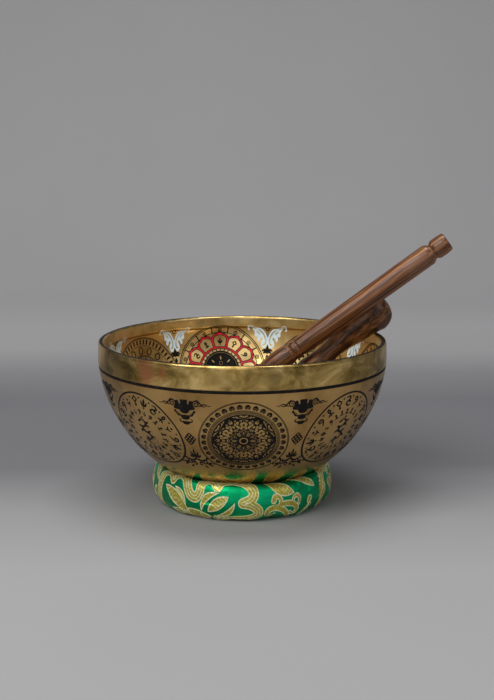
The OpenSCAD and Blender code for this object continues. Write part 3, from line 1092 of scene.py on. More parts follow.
def gold_thread(name, a, b, metal=0.55, lines=0.0011, rough=0.36):
    m = Nodes(name)
    co = m.coord()
    n = m.noise(co, 240, 4, 0.65)
    fine = m.noise(co, 1500, 2, 0.6)
    w = m.n("TexWave", wave_type="BANDS", bands_direction="DIAGONAL")
    m.link(co, w.inputs["Vector"])
    w.inputs["Scale"].default_value = 0.16 / lines
    w.inputs["Distortion"].default_value = 1.5
    w.inputs["Detail"].default_value = 2
    w.inputs["Detail Scale"].default_value = 3
    col = m.mix(m.mapr(n, 0.35, 0.65, 0, 1, True), a, b)
    col = m.mix(m.math("MULTIPLY", w.outputs["Fac"], 0.35), col, tuple(x * 0.45 for x in a))
    h = m.math("ADD", w.outputs["Fac"], m.math("MULTIPLY", fine, 0.7))
    return m.set(color=col, metal=metal, rough=m.mapr(fine, 0.3, 0.7, rough - 0.08, rough + 0.1), normal=m.bump(h, 0.5, 0.0003))


def wadding():
    m = Nodes("cotton_wadding")
    co = m.coord()
    n = m.noise(co, 130, 5, 0.7, 1.2)
    f = m.noise(co, 900, 3, 0.7, 2.0)
    col = m.ramp(n, [(0.3, (0.55, 0.51, 0.43)), (0.55, (0.72, 0.69, 0.61)), (0.75, (0.82, 0.80, 0.74))])
    return m.set(color=col, rough=m.mapr(f, 0.3, 0.7, 0.85, 1.0), sheen=0.4, normal=m.bump(m.math("ADD", n, f), 0.8, 0.0012))


def sewing_thread():
    m = Nodes("twisted_thread")
    co = m.coord()
    w = m.n("TexWave", wave_type="BANDS", bands_direction="DIAGONAL")
    m.link(co, w.inputs["Vector"])
    w.inputs["Scale"].default_value = 420
    w.inputs["Distortion"].default_value = 0.6
    n = m.noise(co, 700, 3)
    col = m.mix(m.math("MULTIPLY", w.outputs["Fac"], 0.6), (0.70, 0.56, 0.22), (0.42, 0.30, 0.09))
    return m.set(color=col, rough=m.mapr(n, 0.3, 0.7, 0.45, 0.65), metal=0.25, normal=m.bump(w.outputs["Fac"], 0.8, 0.0003))


def rosewood(name, seed, dark=1.0):
    m = Nodes(name)
    co = m.coord("grain")
    off = (seed * 0.37, seed * 0.61, seed * 1.7)
    # long wavering figure along the stick
    bend = m.noise(m.scaled(co, 30, 30, 14, off), 1.0, 2, 0.5, out="Color")
    v = m.n("VectorMath", operation="SCALE")
    m.link(bend, v.inputs[0])
    v.inputs["Scale"].default_value = 0.0035
    add = m.n("VectorMath", operation="ADD")
    m.link(co, add.inputs[0])
    m.link(v.outputs[0], add.inputs[1])
    g = add.outputs[0]
    band = m.noise(m.scaled(g, 250, 190, 3.4, off), 1.0, 4, 0.55, 0.15)
    fig = m.noise(m.scaled(g, 560, 560, 5.5, off), 1.0, 4, 0.66, 0.06)
    pores = m.noise(m.scaled(g, 1900, 1900, 46, off), 1.0, 2, 0.6)
    d = dark
    col = m.ramp(band, [(0.34, (0.040 * d, 0.014 * d, 0.0055 * d)), (0.43, (0.125 * d, 0.046 * d, 0.015 * d)), (0.53, (0.225 * d, 0.090 * d, 0.031 * d)),
                        (0.63, (0.315 * d, 0.142 * d, 0.052 * d)), (0.74, (0.39 * d, 0.19 * d, 0.078 * d))])
    col = m.mix(1.0, col, m.ramp(fig, [(0.36, (0.20, 0.17, 0.15)), (0.455, (0.72, 0.69, 0.66)), (0.53, (1.10, 1.06, 1.0)), (0.64, (1.60, 1.52, 1.40))]), "MULTIPLY")
    hair = m.mapr(m.noise(m.scaled(g, 1300, 1300, 9, off), 1.0, 2, 0.6), 0.52, 0.68, 0, 1, True)
    col = m.mix(m.math("MULTIPLY", hair, 0.55), col, (0.030, 0.012, 0.007))
    pit = m.mapr(pores, 0.60, 0.70, 0, 1, True)
    col = m.mix(m.math("MULTIPLY", pit, 0.75), col, (0.018, 0.008, 0.006))
    # worn paler where hands and the rim rub it
    rub = m.mapr(m.noise(m.scaled(co, 40, 40, 22, off), 1.0, 3), 0.52, 0.70, 0, 1, True)
    col = m.mix(m.math("MULTIPLY", rub, 0.22), col, (0.27, 0.145, 0.09))
    turn = m.noise(m.scaled(co, 8, 8, 2200), 1.0, 2)
    h = m.math("ADD", m.math("MULTIPLY", fig, 0.5), m.math("MULTIPLY", turn, 0.35))
    h = m.math("SUBTRACT", h, m.math("MULTIPLY", pit, 0.9))
    rough = m.math("ADD", m.mapr(fig, 0.3, 0.7, 0.44, 0.34), m.math("MULTIPLY", pit, 0.25))
    return m.set(color=col, rough=rough, spec=0.38, coat=0.08, coat_rough=0.26, normal=m.bump(h, 0.35, 0.0003))


def studio(name, low, high):
    m = Nodes(name)
    co = m.coord()
    n = m.noise(co, 3, 3)
    col = m.mix(n, low, high)
    sep = m.n("SeparateXYZ")
    m.link(co, sep.inputs[0])
    # painted shade: a dim band across the floor behind the bowl, lighter again in front and up the curve of the sweep
    y = m.math("ADD", sep.outputs[1], m.math("MULTIPLY", m.math("SUBTRACT", m.noise(co, 1.5, 2), 0.5), 0.10))
    dim = m.ramp(m.mapr(y, -0.2, 1.3, 0, 1), [(0.0, (0.88, 0.88, 0.885)), (0.10, (0.74, 0.74, 0.75)), (0.20, (0.45, 0.45, 0.47)), (0.42, (0.45, 0.45, 0.475)), (0.54, (0.62, 0.62, 0.635)), (0.66, (0.92, 0.91, 0.92)), (0.80, (1.04, 1.03, 1.04)), (1.0, (1.08, 1.07, 1.08))])
    col = m.mix(1.0, col, dim, "MULTIPLY")
    return m.set(color=col, rough=0.92, spec=0.1)


# ---------------------------------------------------------------- ornament on the outside of the bowl
def art_lattice():
    """Front medallion: hearts round a six-fold lattice. Radius 41.2."""
    A = Art(-42, -42, 42, 42, 0.17)
    A.ring(40.95, 0.52).ring(40.1, 0.40)
    A.sym(32, True, phase=rad(5.6)).at()
    heart = smooth_line([(0, 38.6), (-1.35, 38.0), (-2.45, 36.6), (-2.35, 34.9), (-1.25, 33.9), (0, 34.6), (1.25, 33.9), (2.35, 34.9),
                         (2.45, 36.6), (1.35, 38.0)], 5, closed=True)
    A.poly(heart)
    A.stroke(spiral(1.15, 35.35, 0.95, 0.25, 20, 330, 14), 0.34, 0.3, cut=True)
    A.stroke(bez((0.0, 34.5), (0.12, 35.6), (0.75, 36.6), n=8), 0.3, 0.26, cut=True)
    for r in (29.95, 30.65, 31.35, 32.05, 32.75):
        A.ring(r, 0.27)
    K = 29.2
    A.sym().disc(0, 0, K)
    A.sym(6, True)

    def P(*ar):
        return polar(*[(a, r * K) for a, r in ar])

    def L(a, r, b, q, w, bow=0.0, fat=0.5):
        A.leaf(*P((a, r), (b, q)), w, bow, cut=True, fat=fat)

    A.poly(P((60, .185), (69.5, .205), (68, .325), (63.5, .365), (60, .375), (56, .365), (51.5, .325), (50.5, .205)), cut=True)
    A.stroke(P((60, .19), (60, .37)), 0.55)
    A.poly(P((90, .175), (97.5, .21), (105, .31), (98, .42), (90, .485), (82, .42), (75, .31), (82.5, .21)), cut=True, grow=-0.1)
    A.stroke(P((90, .20), (101, .315), (90, .455), (79, .315), (90, .20)), 0.45)
    A.stroke(P((90, .255), (96, .315), (90, .40), (84, .315), (90, .255)), 0.42)
    A.poly(P((73.5, .215), (72, .30), (66.5, .39), (70.5, .44), (76, .40), (78.5, .37), (75, .32), (79, .24)), cut=True, grow=-0.12)
    A.stroke(P((74.5, .23), (72, .42)), 0.45)
    A.poly(P((60, .405), (65.5, .425), (69.5, .47), (64.5, .535), (60, .50)), cut=True, grow=-0.05)
    A.stroke(P((60, .44), (64.5, .475)), 0.45)
    L(90, .51, 90, .745, 4.6, fat=0.42)
    A.disc(*P((90, .62))[0], 0.62)
    A.stroke(P((90, .56), (87.5, .61), (90, .665), (92.5, .61), (90, .56)), 0.38)
    L(77.5, .445, 82.5, .575, 2.5, 0.5)
    L(71.5, .475, 77.5, .60, 2.3, -0.45)
    L(84.2, .56, 83.5, .70, 1.7, -0.4)
    L(78.5, .63, 85.5, .735, 1.7, 0.5)
    L(66.5, .565, 72.0, .655, 2.3, 0.4)
    L(73.3, .635, 78.3, .755, 2.2, -0.5)
    L(60, .545, 60, .675, 2.2)
    L(64.2, .615, 67.4, .735, 1.9, 0.4)
    L(68.5, .69, 75.3, .785, 1.5, 0.5)
    L(62.6, .72, 63.2, .85, 1.7, -0.3)
    L(67.3, .765, 72.5, .835, 1.3, 0.3)
    L(79.3, .775, 87.0, .800, 1.5, 0.35)
    A.disc(*P((60, .755))[0], 0.55, cut=True)
    A.disc(*P((60, .875))[0], 0.62, cut=True)
    # outside the big hexagon
    L(89.0, .885, 81.0, .955, 1.7, 0.5)
    L(90, .86, 90, .965, 1.2)
    L(80.5, .885, 74.3, .95, 1.6, -0.4)
    L(73.8, .90, 68.5, .955, 1.25, 0.3)
    L(84.5, .862, 78.0, .858, 1.0, 0.2)
    A.disc(*P((77.2, .965))[0], 0.36, cut=True)
    A.stroke(P((60, .97), (90, .84)), 0.62)
    A.sym().disc(0, 0, 4.75)
    A.ring(3.35, 1.25, cut=True)
    A.sym(6, True)
    A.stroke(P((90, .77), (87.3, .83), (84.5, .865)), 0.35, cut=True)
    return A


def sprig(A, kind, r, k, turn):
    """One small abstract ornament, upright at radius r and turned by turn degrees; k scales it."""
    t = rad(turn)
    R = np.array([[math.cos(t), -math.sin(t)], [math.sin(t), math.cos(t)]])
    A.T, A.O = [R], np.zeros(2)

    def q(pts):
        return np.asarray(pts, float) * k + (0, r)

    w = 0.95 * k
    if kind == 0:      # curl with two leaves
        A.stroke(q(smooth_line([(-1.7, 2.6), (0.9, 3.0), (1.7, 1.3), (-0.4, 0.1), (-1.5, -1.6), (0.4, -3.1), (1.9, -2.4)], 5)), [0.45 * k, w * 1.2, w, w * 1.1, 0.4 * k])
        A.leaf(*q([(0.2, 0.0), (2.7, -1.0)]), 1.2 * k)
    elif kind == 1:    # bud on a stem
        A.leaf(*q([(0, -0.4), (0, 3.6)]), 2.4 * k, fat=0.45)
        A.leaf(*q([(0, 0.5), (0, 2.4)]), 0.7 * k, cut=True)
        A.stroke(q([(0, -0.2), (0, -3.2)]), w * 0.8, 0.4 * k)
        A.leaf(*q([(0, -1.0), (2.2, -2.6)]), 1.0 * k)
        A.leaf(*q([(0, -1.0), (-2.2, -2.6)]), 1.0 * k)
    elif kind == 2:    # open lozenge over a drop
        A.stroke(q([(0, 3.3), (1.9, 1.3), (0, -0.8), (-1.9, 1.3), (0, 3.3)]), w * 0.8)
        A.leaf(*q([(0, -3.5), (0, -1.0)]), 1.6 * k, fat=0.4)
    elif kind == 3:    # snail
        A.stroke(q(spiral(0, 0.9, 2.1, 0.3, -80, 380, 22)), [0.9 * k, 0.8 * k, 0.5 * k])
        A.stroke(q(bez((0.4, -1.2), (-0.2, -2.5), (-1.8, -3.0))), w, 0.35 * k)
    elif kind == 4:    # three leaves
        A.leaf(*q([(0, -2.6), (0, 3.3)]), 1.5 * k, fat=0.6)
        A.leaf(*q([(0, -2.4), (2.3, 1.4)]), 1.2 * k, -0.5 * k)
        A.leaf(*q([(0, -2.4), (-2.3, 1.4)]), 1.2 * k, 0.5 * k)
        A.disc(*q([(0, -3.4)])[0], 0.55 * k)
    else:              # crescent and bead
        A.stroke(q(spiral(0, 0.4, 1.9, 1.9, 200, 340, 14)), [0.3 * k, 1.1 * k, 0.3 * k])
        A.disc(*q([(0, 1.2)])[0], 0.72 * k)
        A.stroke(q(bez((0, -1.6), (0.6, -2.4), (-0.4, -3.4))), w * 0.8, 0.35 * k)


def art_sprigs(seed=0):
    """Side medallion: rings of small abstract sprigs round a tall vine. Radius 41.2."""
    A = Art(-42, -42, 42, 42, 0.17)
    A.ring(40.9, 0.66).ring(39.95, 0.28)
    order = [0, 2, 1, 3, 5, 4, 0, 1, 2, 4, 3, 5, 1, 0, 4, 2, 5, 3]
    for i in range(18):
        sprig(A, order[(i + seed) % 18], 32.4, 1.5, 20 * i + 4)
    A.sym(18, phase=rad(14)).disc(0, 36.4, 0.8)
    for i in range(20):
        sprig(A, order[(i * 5 + 2 + seed) % 18], 21.4, 0.92, 18 * i)
    # the tall vine in the middle
    A.sym().at()
    A.stroke(smooth_line([(-2.6, 13.6), (1.6, 12.4), (3.2, 9.2), (1.2, 6.4), (-2.2, 4.6), (-3.2, 1.6), (-0.8, -0.8), (2.8, -2.4), (4.0, -5.6), (2.2, -8.8), (-1.4, -10.4), (-2.4, -13.6), (0.8, -17.2)], 9),
             [0.6, 1.7, 2.3, 1.7, 2.2, 2.6, 2.0, 2.2, 1.7, 1.2, 0.9, 0.4])
    for p, q, w, b in (((-2.2, 13.4), (-6.6, 10.6), 2.3, .7), ((3.0, 10.2), (7.4, 11.8), 2.2, -.6), ((-1.8, 5.0), (-7.0, 6.8), 2.4, .6), ((1.8, 6.8), (6.6, 5.4), 2.2, .6),
                       ((-3.0, 1.2), (-7.2, -1.6), 2.2, -.7), ((1.2, -1.6), (6.2, 0.6), 2.1, .5), ((3.8, -4.8), (8.0, -7.6), 2.1, .6), ((0.6, -9.4), (-4.2, -7.2), 2.0, -.5)):
        A.leaf(p, q, w, b)
    A.stroke(spiral(-4.0, -11.4, 2.3, 0.4, 30, 400, 20), [1.1, 0.95, 0.5])
    A.disc(0.6, 15.6, 0.95)
    return A


def art_cloud():
    """Hanging jewel between two curled cloud tails."""
    A = Art(-28, -16, 28, 12, 0.17)
    A.sym(1, True)
    A.poly(smooth_line([(0, 7.6), (-3.2, 7.6), (-3.8, 6.8), (-3.4, 4.4), (-4.6, 1.6), (-4.8, -1.4), (-3.9, -3.3), (-2.0, -4.4), (0, -4.6)], 6).tolist() + [(0.4, -4.6), (0.4, 7.6)])
    A.disc(-7.1, 5.1, 1.9).disc(-6.2, 3.0, 1.9).disc(-9.2, 0.5, 1.35)
    A.poly(smooth_line([(-3.8, 3.0), (-6.4, 4.2), (-8.6, 3.2), (-10.3, 1.0), (-9.4, -0.6), (-7.0, -1.1), (-4.2, -1.0)], 5, closed=True))
    # the curl
    A.stroke(spiral(-11.9, 4.2, 3.5, 0.5, -60, 560, 34), [1.15, 0.95, 0.75, 0.5])
    # the tail
    A.stroke(bez((-13.0, 7.4), (-16.2, 5.8), (-15.8, 3.8), (-18.4, 4.0), n=14), [1.3, 1.15, 0.8])
    A.stroke(smooth_line([(-14.8, 2.6), (-17.0, 3.2), (-19.4, 4.4), (-21.8, 4.2), (-24.0, 3.1), (-26.4, 3.5)], 6), [0.7, 0.9, 0.75, 0.5, 0.3])
    A.stroke(smooth_line([(-18.0, 2.7), (-19.8, 2.5), (-22.0, 3.1)], 5), 0.7, 0.3)
    # scrolls under the body
    A.stroke(smooth_line([(-9.7, -2.6), (-8.2, -4.6), (-7.0, -6.3), (-5.4, -6.7), (-3.8, -6.4)], 6), [1.8, 1.1, 1.2, 1.1, 0.9])
    A.stroke(spiral(-6.3, -4.7, 1.4, 0.4, 150, 420, 14), 0.7, 0.4)
    A.disc(-9.7, -2.7, 1.05)
    A.sym()
    A.poly(smooth_line([(-3.9, -6.8), (-1.8, -6.1), (1.8, -6.1), (3.9, -6.8), (4.2, -8.3), (3.2, -9.9), (0, -10.5), (-3.2, -9.9), (-4.2, -8.3)], 6, closed=True))
    A.sym(1, True)
    A.poly(smooth_line([(0, -12.1), (-2.4, -12.2), (-3.9, -12.6), (-3.2, -14.2), (-1.9, -15.1), (0, -15.3)], 6).tolist() + [(0.4, -15.3), (0.4, -12.1)])
    A.stroke(smooth_line([(-3.2, -12.8), (-5.2, -12.7), (-6.3, -11.7), (-6.1, -10.5), (-5.2, -10.3)], 6), [1.2, 1.0, 0.8, 0.6])
    return A


def art_knot():
    """A diamond of interlaced cords."""
    A = Art(-9, -10, 9, 10, 0.15)
    c, R = 1.9, math.sqrt(0.5)

    def turn(p):
        return [((x - y) * R * c, (x + y) * R * c) for x, y in p]

    for i in (-1.5, -0.5, 0.5, 1.5):
        s = 1.5 if abs(i) < 1 else 0.5
        A.stroke(turn([(i, -s), (i, s)]), 0.66)
        A.stroke(turn([(-s, i), (s, i)]), 0.66)
    for sx in (-1, 1):
        for sy in (-1, 1):
            A.stroke(smooth_line(turn([(1.5 * sx, 0.5 * sy), (1.5 * sx, 1.5 * sy), (0.5 * sx, 1.5 * sy)]), 6), 0.6)
    for i in range(4):
        for j in range(4):
            if not (i in (0, 3) and j in (0, 3)):
                A.disc(*turn([(i - 1.5, j - 1.5)])[0], 0.66)
    return A


def art_scroll():
    """Lotus over two rolling leaves, at the foot between medallions."""
    A = Art(-22, -14, 22, 14, 0.17)
    A.sym(1, True)
    A.leaf((0, 2.2), (0, 11.5), 3.0, fat=0.45)
    A.leaf((-0.6, 2.4), (-4.4, 8.4), 2.6, 0.9)
    A.leaf((-1.2, 2.0), (-7.2, 4.6), 2.4, 0.9)
    A.leaf((0, 4.2), (0, 8.6), 0.8, cut=True)
    A.leaf((-1.6, 4.2), (-3.4, 7.0), 0.6, cut=True)
    A.disc(0, 2.0, 1.3)
    A.stroke(bez((0, 1.4), (-1.6, -2.4), (-6.0, -3.8), (-9.6, -1.6), n=16), [1.2, 2.4, 2.0, 1.4])
    A.stroke(spiral(-9.0, -4.4, 3.2, 0.6, 100, 470, 26), [1.6, 1.4, 1.1, 0.6])
    A.stroke(spiral(-3.8, -7.2, 2.8, 0.5, 150, -210, 24), [1.7, 1.3, 0.6])
    A.leaf((-11.4, -2.2), (-15.6, 1.6), 2.2, -0.8)
    A.leaf((-12.0, -4.6), (-18.0, -4.2), 2.4, 0.9)
    A.leaf((-11.4, -6.6), (-17.6, -9.6), 2.6, -0.8)
    A.leaf((-7.2, -8.2), (-11.2, -12.0), 2.2, 0.7)
    A.disc(-19.4, -5.6, 1.0).disc(-15.0, -7.2, 0.9)
    return A


# ---------------------------------------------------------------- ornament inside the bowl
def petal_line():
    """One petal, upright, as an open line from foot to foot; its sides are its neighbours' sides."""
    half = [(14.6, 22.0), (14.9, 25.0), (14.95, 28.0), (14.4, 31.0), (12.4, 33.3), (8.8, 34.9), (4.6, 35.8), (0.9, 36.9)]
    pts = [(90 + d, r) for d, r in half] + [(90, 37.4)] + [(90 - d, r) for d, r in half[::-1]]
    return smooth_line(polar(*pts), 4)


def art_lotus_black():
    A = Art(-46, -46, 46, 46, 0.17)
    A.sym().ring(44.9, 0.62).ring(43.3, 0.36)
    A.sym(15, phase=rad(12)).stroke([(0, 37.2), (0, 43.2)], 0.85)
    A.sym(15)
    A.ring(1.65, 0.42, 0, 39.6).disc(0, 39.6, 0.5)
    th = np.arctan2(A.X, A.Y)
    A.field(np.abs(np.hypot(A.X, A.Y) - 36.9 - 0.55 * np.abs(np.sin(th * 6)) ** 0.6) - 0.2)
    A.sym(24, phase=rad(7.5)).stroke([(0, 35.2), (0, 36.8)], 0.36)
    A.sym(12).stroke(petal_line(), 2.5)
    A.sym().ring(22.0, 2.3)
    order = [4, 1, 0, 5, 2, 3, 4, 0, 1, 5, 3, 2]
    for i in range(12):
        sprig(A, order[i], 28.6, 1.0, 30 * i)
    A.sym().at()
    A.ring(18.2, 0.42).ring(17.3, 0.36)
    A.sym(30).stroke([(0, 18.4), (0, 20.9)], 0.5)
    A.sym().disc(0, 0, 16.5)
    A.stroke(spiral(0, 4.6, 3.9, 3.9, 205, 335, 20), [0.35, 1.5, 0.35], cut=True)
    A.ring(1.7, 0.75, 0, 6.1, cut=True)
    A.sym(8).leaf((0, -8.8), (0, -13.8), 2.0, cut=True)
    A.sym().ring(14.8, 0.35, cut=True)
    A.leaf((0, -4.2), (0, 0.6), 2.6, cut=True)
    A.leaf((-0.6, -3.9), (-4.4, -1.0), 1.7, 0.6, cut=True)
    A.leaf((0.6, -3.9), (4.4, -1.0), 1.7, -0.6, cut=True)
    return A


def art_lotus_red():
    A = Art(-37, -37, 37, 37, 0.17)
    A.sym(12).stroke(petal_line(), 1.15)
    A.poly([(0, 37.8), (-2.6, 35.8), (0, 34.8), (2.6, 35.8)])
    A.sym().ring(22.0, 1.1)
    return A


def art_wheel(dotted=False):
    A = Art(-46, -46, 46, 46, 0.18)
    A.sym().ring(44.9, 0.66).ring(43.7, 0.3)
    if dotted:
        A.sym(48).poly([(-0.8, 39.6), (0.8, 39.6), (0.85, 41.4), (-0.85, 41.4)])
        A.sym().ring(37.6, 0.36)
    else:
        A.sym(52).poly([(-0.78, 37.6), (0.78, 37.6), (0.92, 42.6), (-0.92, 42.6)])
    A.sym(16)
    A.oval(3.2, 4.0, 0.5, 0, 30.9)
    A.oval(2.3, 3.1, 0.28, 0, 30.9)
    A.sym().ring(36.1, 0.34).ring(25.6, 0.5).ring(24.6, 0.3)
    A.sym(24).leaf((0, 19.6), (0, 23.8), 2.3)
    A.sym().ring(18.8, 0.5)
    A.sym(8, True)
    A.leaf((0, 7.0), (0, 17.6), 4.2)
    A.leaf((0, 9.6), (0, 15.4), 1.3, cut=True)
    A.leaf((3.4, 9.6), (5.4, 16.2), 2.0, 0.6)
    A.sym().ring(6.0, 0.6)
    A.disc(0, 0, 4.0)
    A.sym(6).leaf((0, 0.8), (0, 3.4), 0.9, cut=True)
    return A


def art_wings():
    """Pale enamel: two leafy scrolls that spread like wings and meet in the middle."""
    A = Art(-24, -18, 24, 16, 0.17)
    A.sym(1, True)
    A.poly(smooth_line([(-17.6, 13.0), (-14.4, 11.1), (-10.7, 9.8), (-7.0, 8.8), (-4.1, 6.4), (-1.9, 2.9), (-0.6, -0.6), (0.3, -2.8), (0.3, -7.6),
                        (-0.5, -9.8), (-1.7, -12.2), (-3.7, -13.6), (-5.8, -12.2), (-7.0, -8.9), (-6.4, -5.4), (-4.9, -3.5), (-6.0, -1.5), (-7.3, -2.6),
                        (-8.2, -5.0), (-9.4, -6.1), (-10.7, -5.0), (-11.0, -2.6), (-10.5, 0.4), (-11.3, -0.4), (-12.4, -0.7), (-13.6, 1.1),
                        (-13.4, 4.2), (-14.8, 7.1), (-16.9, 10.6)], 4, closed=True))
    A.stroke(smooth_line([(-16.4, 11.9), (-18.3, 12.2), (-19.7, 10.6), (-20.0, 8.6), (-19.5, 7.0)], 6), [2.4, 2.1, 1.7, 1.6, 1.8])
    A.disc(-19.5, 7.1, 1.0)
    # slits that let the brass show
    A.stroke(smooth_line([(-9.4, 7.1), (-7.4, 5.9), (-5.4, 3.8), (-3.6, 0.8), (-2.5, -2.6), (-2.1, -6.0), (-2.6, -8.8), (-4.0, -9.8)], 6),
             [0.8, 1.2, 1.25, 1.15, 1.05, 1.1, 1.35, 1.5], cut=True)
    A.disc(-4.1, -9.7, 0.9, cut=True)
    A.stroke(smooth_line([(-11.6, 5.3), (-9.7, 3.9), (-8.2, 1.8)], 6), [0.7, 1.35, 0.7], cut=True)
    A.stroke(smooth_line([(-14.6, 9.3), (-12.9, 8.1), (-11.7, 7.4)], 6), [0.4, 0.75, 0.4], cut=True)
    return A


def art_fleur():
    """Small ring above, and a dark leaf and bud below, the wings."""
    A = Art(-10, -30, 10, 18, 0.17)
    A.sym().oval(1.9, 2.4, 0.85, 0, 13.2)
    A.leaf((0, -4.2), (0, -15.2), 3.4, fat=0.62)
    A.leaf((0, -15.8), (0, -21.8), 3.0)
    A.sym(1, True)
    A.leaf((-0.3, -8.8), (-4.6, -14.4), 3.4, 0.9)
    A.leaf((-0.3, -10.4), (-5.6, -11.6), 2.2, -0.6)
    A.disc(-5.2, -11.7, 0.8)
    return A


def art_floor_star():
    """The bowl's inside bottom: a petalled star in rings."""
    A = Art(-43, -43, 43, 43, 0.2)
    A.sym().ring(41.5, 0.7).ring(39.8, 0.35).ring(24.0, 0.5).ring(12.2, 0.5)
    A.sym(16, True).stroke(bez((0, 38.8), (4.2, 36.0), (6.6, 32.0), (4.9, 26.0)), 0.55)
    A.sym(16).leaf((0, 26.4), (0, 35.4), 3.2)
    A.sym(16).leaf((0, 28.4), (0, 33.4), 1.0, cut=True)
    A.sym(8, True).leaf((0, 13.2), (0, 23.0), 5.2)
    A.sym(8).leaf((0, 15.4), (0, 21.0), 1.9, cut=True)
    A.sym(16, phase=rad(11.25)).disc(0, 21.2, 0.7)
    A.sym().disc(0, 0, 10.6)
    A.sym(8).leaf((0, 2.0), (0, 9.4), 2.4, cut=True)
    return A


# ---------------------------------------------------------------- the brocade's design
def art_brocade():
    """One repeat of the cloth, 186 wide: a scalloped cloud band over a lotus, then leaves and curls.
    u runs round the cushion and v up its outside. Returns the gold field and the pale line field."""
    A = Art(-104, -62, 84, 62, 0.26)
    A.sym()

    def band(pts, w, line):
        q = np.asarray(pts, float)
        lo, hi = q.min(0) - w, q.max(0) + w
        win = A.window(lo, hi)
        X, Y = A.X[win], A.Y[win]
        a, b = q[:-1], q[1:]
        ab = b - a
        L2 = (ab**2).sum(1)
        best, side = np.full(X.shape, 99.0), np.zeros(X.shape)
        for k in range(len(a)):
            px, py = X - a[k, 0], Y - a[k, 1]
            t = np.clip((px * ab[k, 0] + py * ab[k, 1]) / L2[k], 0, 1)
            d = np.hypot(px - t * ab[k, 0], py - t * ab[k, 1])
            c = np.sign(ab[k, 0] * py - ab[k, 1] * px)
            m = d < best
            best[m], side[m] = d[m], c[m]
        A.F[win] = np.minimum(A.F[win], best - w / 2)
        for off in line:
            lines.append((win, np.abs(best * side - off) - 0.3, best - w / 2 + 0.3))

    lines = []
    arcs = [[(-98.5, -24), (-99, -10), (-97.4, 6), (-93.5, 16), (-86.5, 19.6), (-80.6, 17.6), (-77.4, 14.0)],
            [(-77.4, 14.0), (-74.4, 18.4), (-67.5, 20.4), (-60.6, 17.2), (-56.2, 10.2), (-51.8, 4.8), (-46.4, 3.6), (-42.6, 8.0), (-41.6, 14.6), (-36.8, 19.6), (-29.6, 19.4), (-24.2, 14.2)],
            [(-24.2, 14.2), (-20.6, 19.2), (-11.4, 21.4), (-1.2, 20.0), (7.2, 15.6), (10.8, 9.8), (7.6, 4.8), (0.6, 1.8)],
            [(0.6, 1.8), (8.0, 0.4), (14.6, -4.8), (14.0, -11.0), (6.0, -14.8), (-6.0, -16.8), (-18.0, -17.6), (-25.0, -16.0)]]
    for arc in arcs:
        band(smooth_line(arc, 7), 9.4, (-1.3, 1.3))
    # the lotus inside the band
    def petal(p, q, w, b, fat=0.5):
        A.apart(0.45, lambda s: s.leaf(p, q, w, b, fat=fat))
    petal((-32, -19), (-62, -25), 11.0, -2.0)
    petal((-50, -16), (-86, -22), 9.0, 3.0)
    petal((-52, -10), (-80, -13), 7.0, 2.2)
    petal((-58, -8), (-73, 9.0), 6.4, -3.6)
    petal((-30, -14), (-64, -10.5), 12.5, 1.6)
    petal((-56, -12), (-87, 7.6), 12.6, -1.8, 0.45)
    petal((-40, -9), (-22.0, 9.4), 6.2, 6.2)
    petal((-26, -12.5), (-6.8, 2.6), 5.6, -4.2)
    petal((-33.5, -8.0), (-13.0, 7.0), 10.6, 0.8)
    for k in range(4):
        x = -34 - 7 * k
        lines.append(("stroke", [(x + 2.5, -15.4), (x - 1.0, -12.4), (x + 0.5, -9.0)], 0.4))
    for k in range(5):
        t = 0.28 + 0.13 * k
        x, y = -32.5 + 18.9 * t, -7.0 + 13.6 * t
        lines.append(("stroke", [(x - 0.4, y - 2.6), (x + 2.0, y + 0.4), (x - 1.6, y + 2.4)], 0.4))
    for k in range(6):
        t = 0.2 + 0.12 * k
        x, y = -58 - 28 * t, -12 + 19 * t
        lines.append(("stroke", [(x - 0.5, y - 3.0), (x - 2.6, y + 0.4), (x + 1.2, y + 3.2)], 0.36))
    # leaves and curls beside it
    petal((20, 25), (52, 7.4), 12.0, -2.4, 0.55)
    petal((47, 24.5), (81, 7.6), 10.4, 3.2, 0.55)
    for k in range(7):
        t = 0.16 + 0.11 * k
        x, y = 22 + 29 * t, 25 - 17 * t - 1.6 * math.sin(math.pi * t)
        lines.append(("stroke", [(x + 1.5, y + 2.8), (x + 2.2, y), (x - 1.4, y - 2.8)], 0.36))
        x, y = 49 + 31.5 * t, 23.5 - 15 * t + 2.6 * math.sin(math.pi * t)
        lines.append(("stroke", [(x + 1.5, y + 2.2), (x + 2.2, y), (x - 1.2, y - 2.2)], 0.36))
    A.stroke(smooth_line([(29.6, 3.0), (30.6, 6.2), (34.0, 6.6), (36.6, 3.6), (37.2, -0.6)], 7), [5.4, 4.8, 4.2, 5.0])
    A.stroke(smooth_line([(58.2, -2.4), (58.6, 2.2), (55.0, 5.0), (50.8, 3.4), (50.6, 0.0)], 7), [4.6, 4.8, 3.6, 3.0])
    A.stroke(smooth_line([(36.6, -1.2), (43.0, -0.4), (49.6, -1.8), (54.8, -5.4), (55.2, -10.6), (50.8, -12.4), (47.6, -9.8)], 7), [5.4, 6.2, 5.4, 4.2, 3.2])
    A.stroke(smooth_line([(47.4, -24.0), (46.2, -14.6), (40.0, -6.8), (31.4, -3.6), (24.8, -6.2), (23.8, -11.4), (28.0, -13.8), (31.4, -11.4)], 7), [3.4, 5.6, 6.6, 6.0, 4.8, 3.4])
    A.stroke(smooth_line([(73.4, -1.0), (72.4, -5.4), (74.0, -8.6), (70.4, -10.6), (66.6, -14.6), (63.2, -19.6)], 7), [5.2, 3.4, 4.6, 3.8, 2.4])
    A.disc(73.4, -0.6, 2.3)
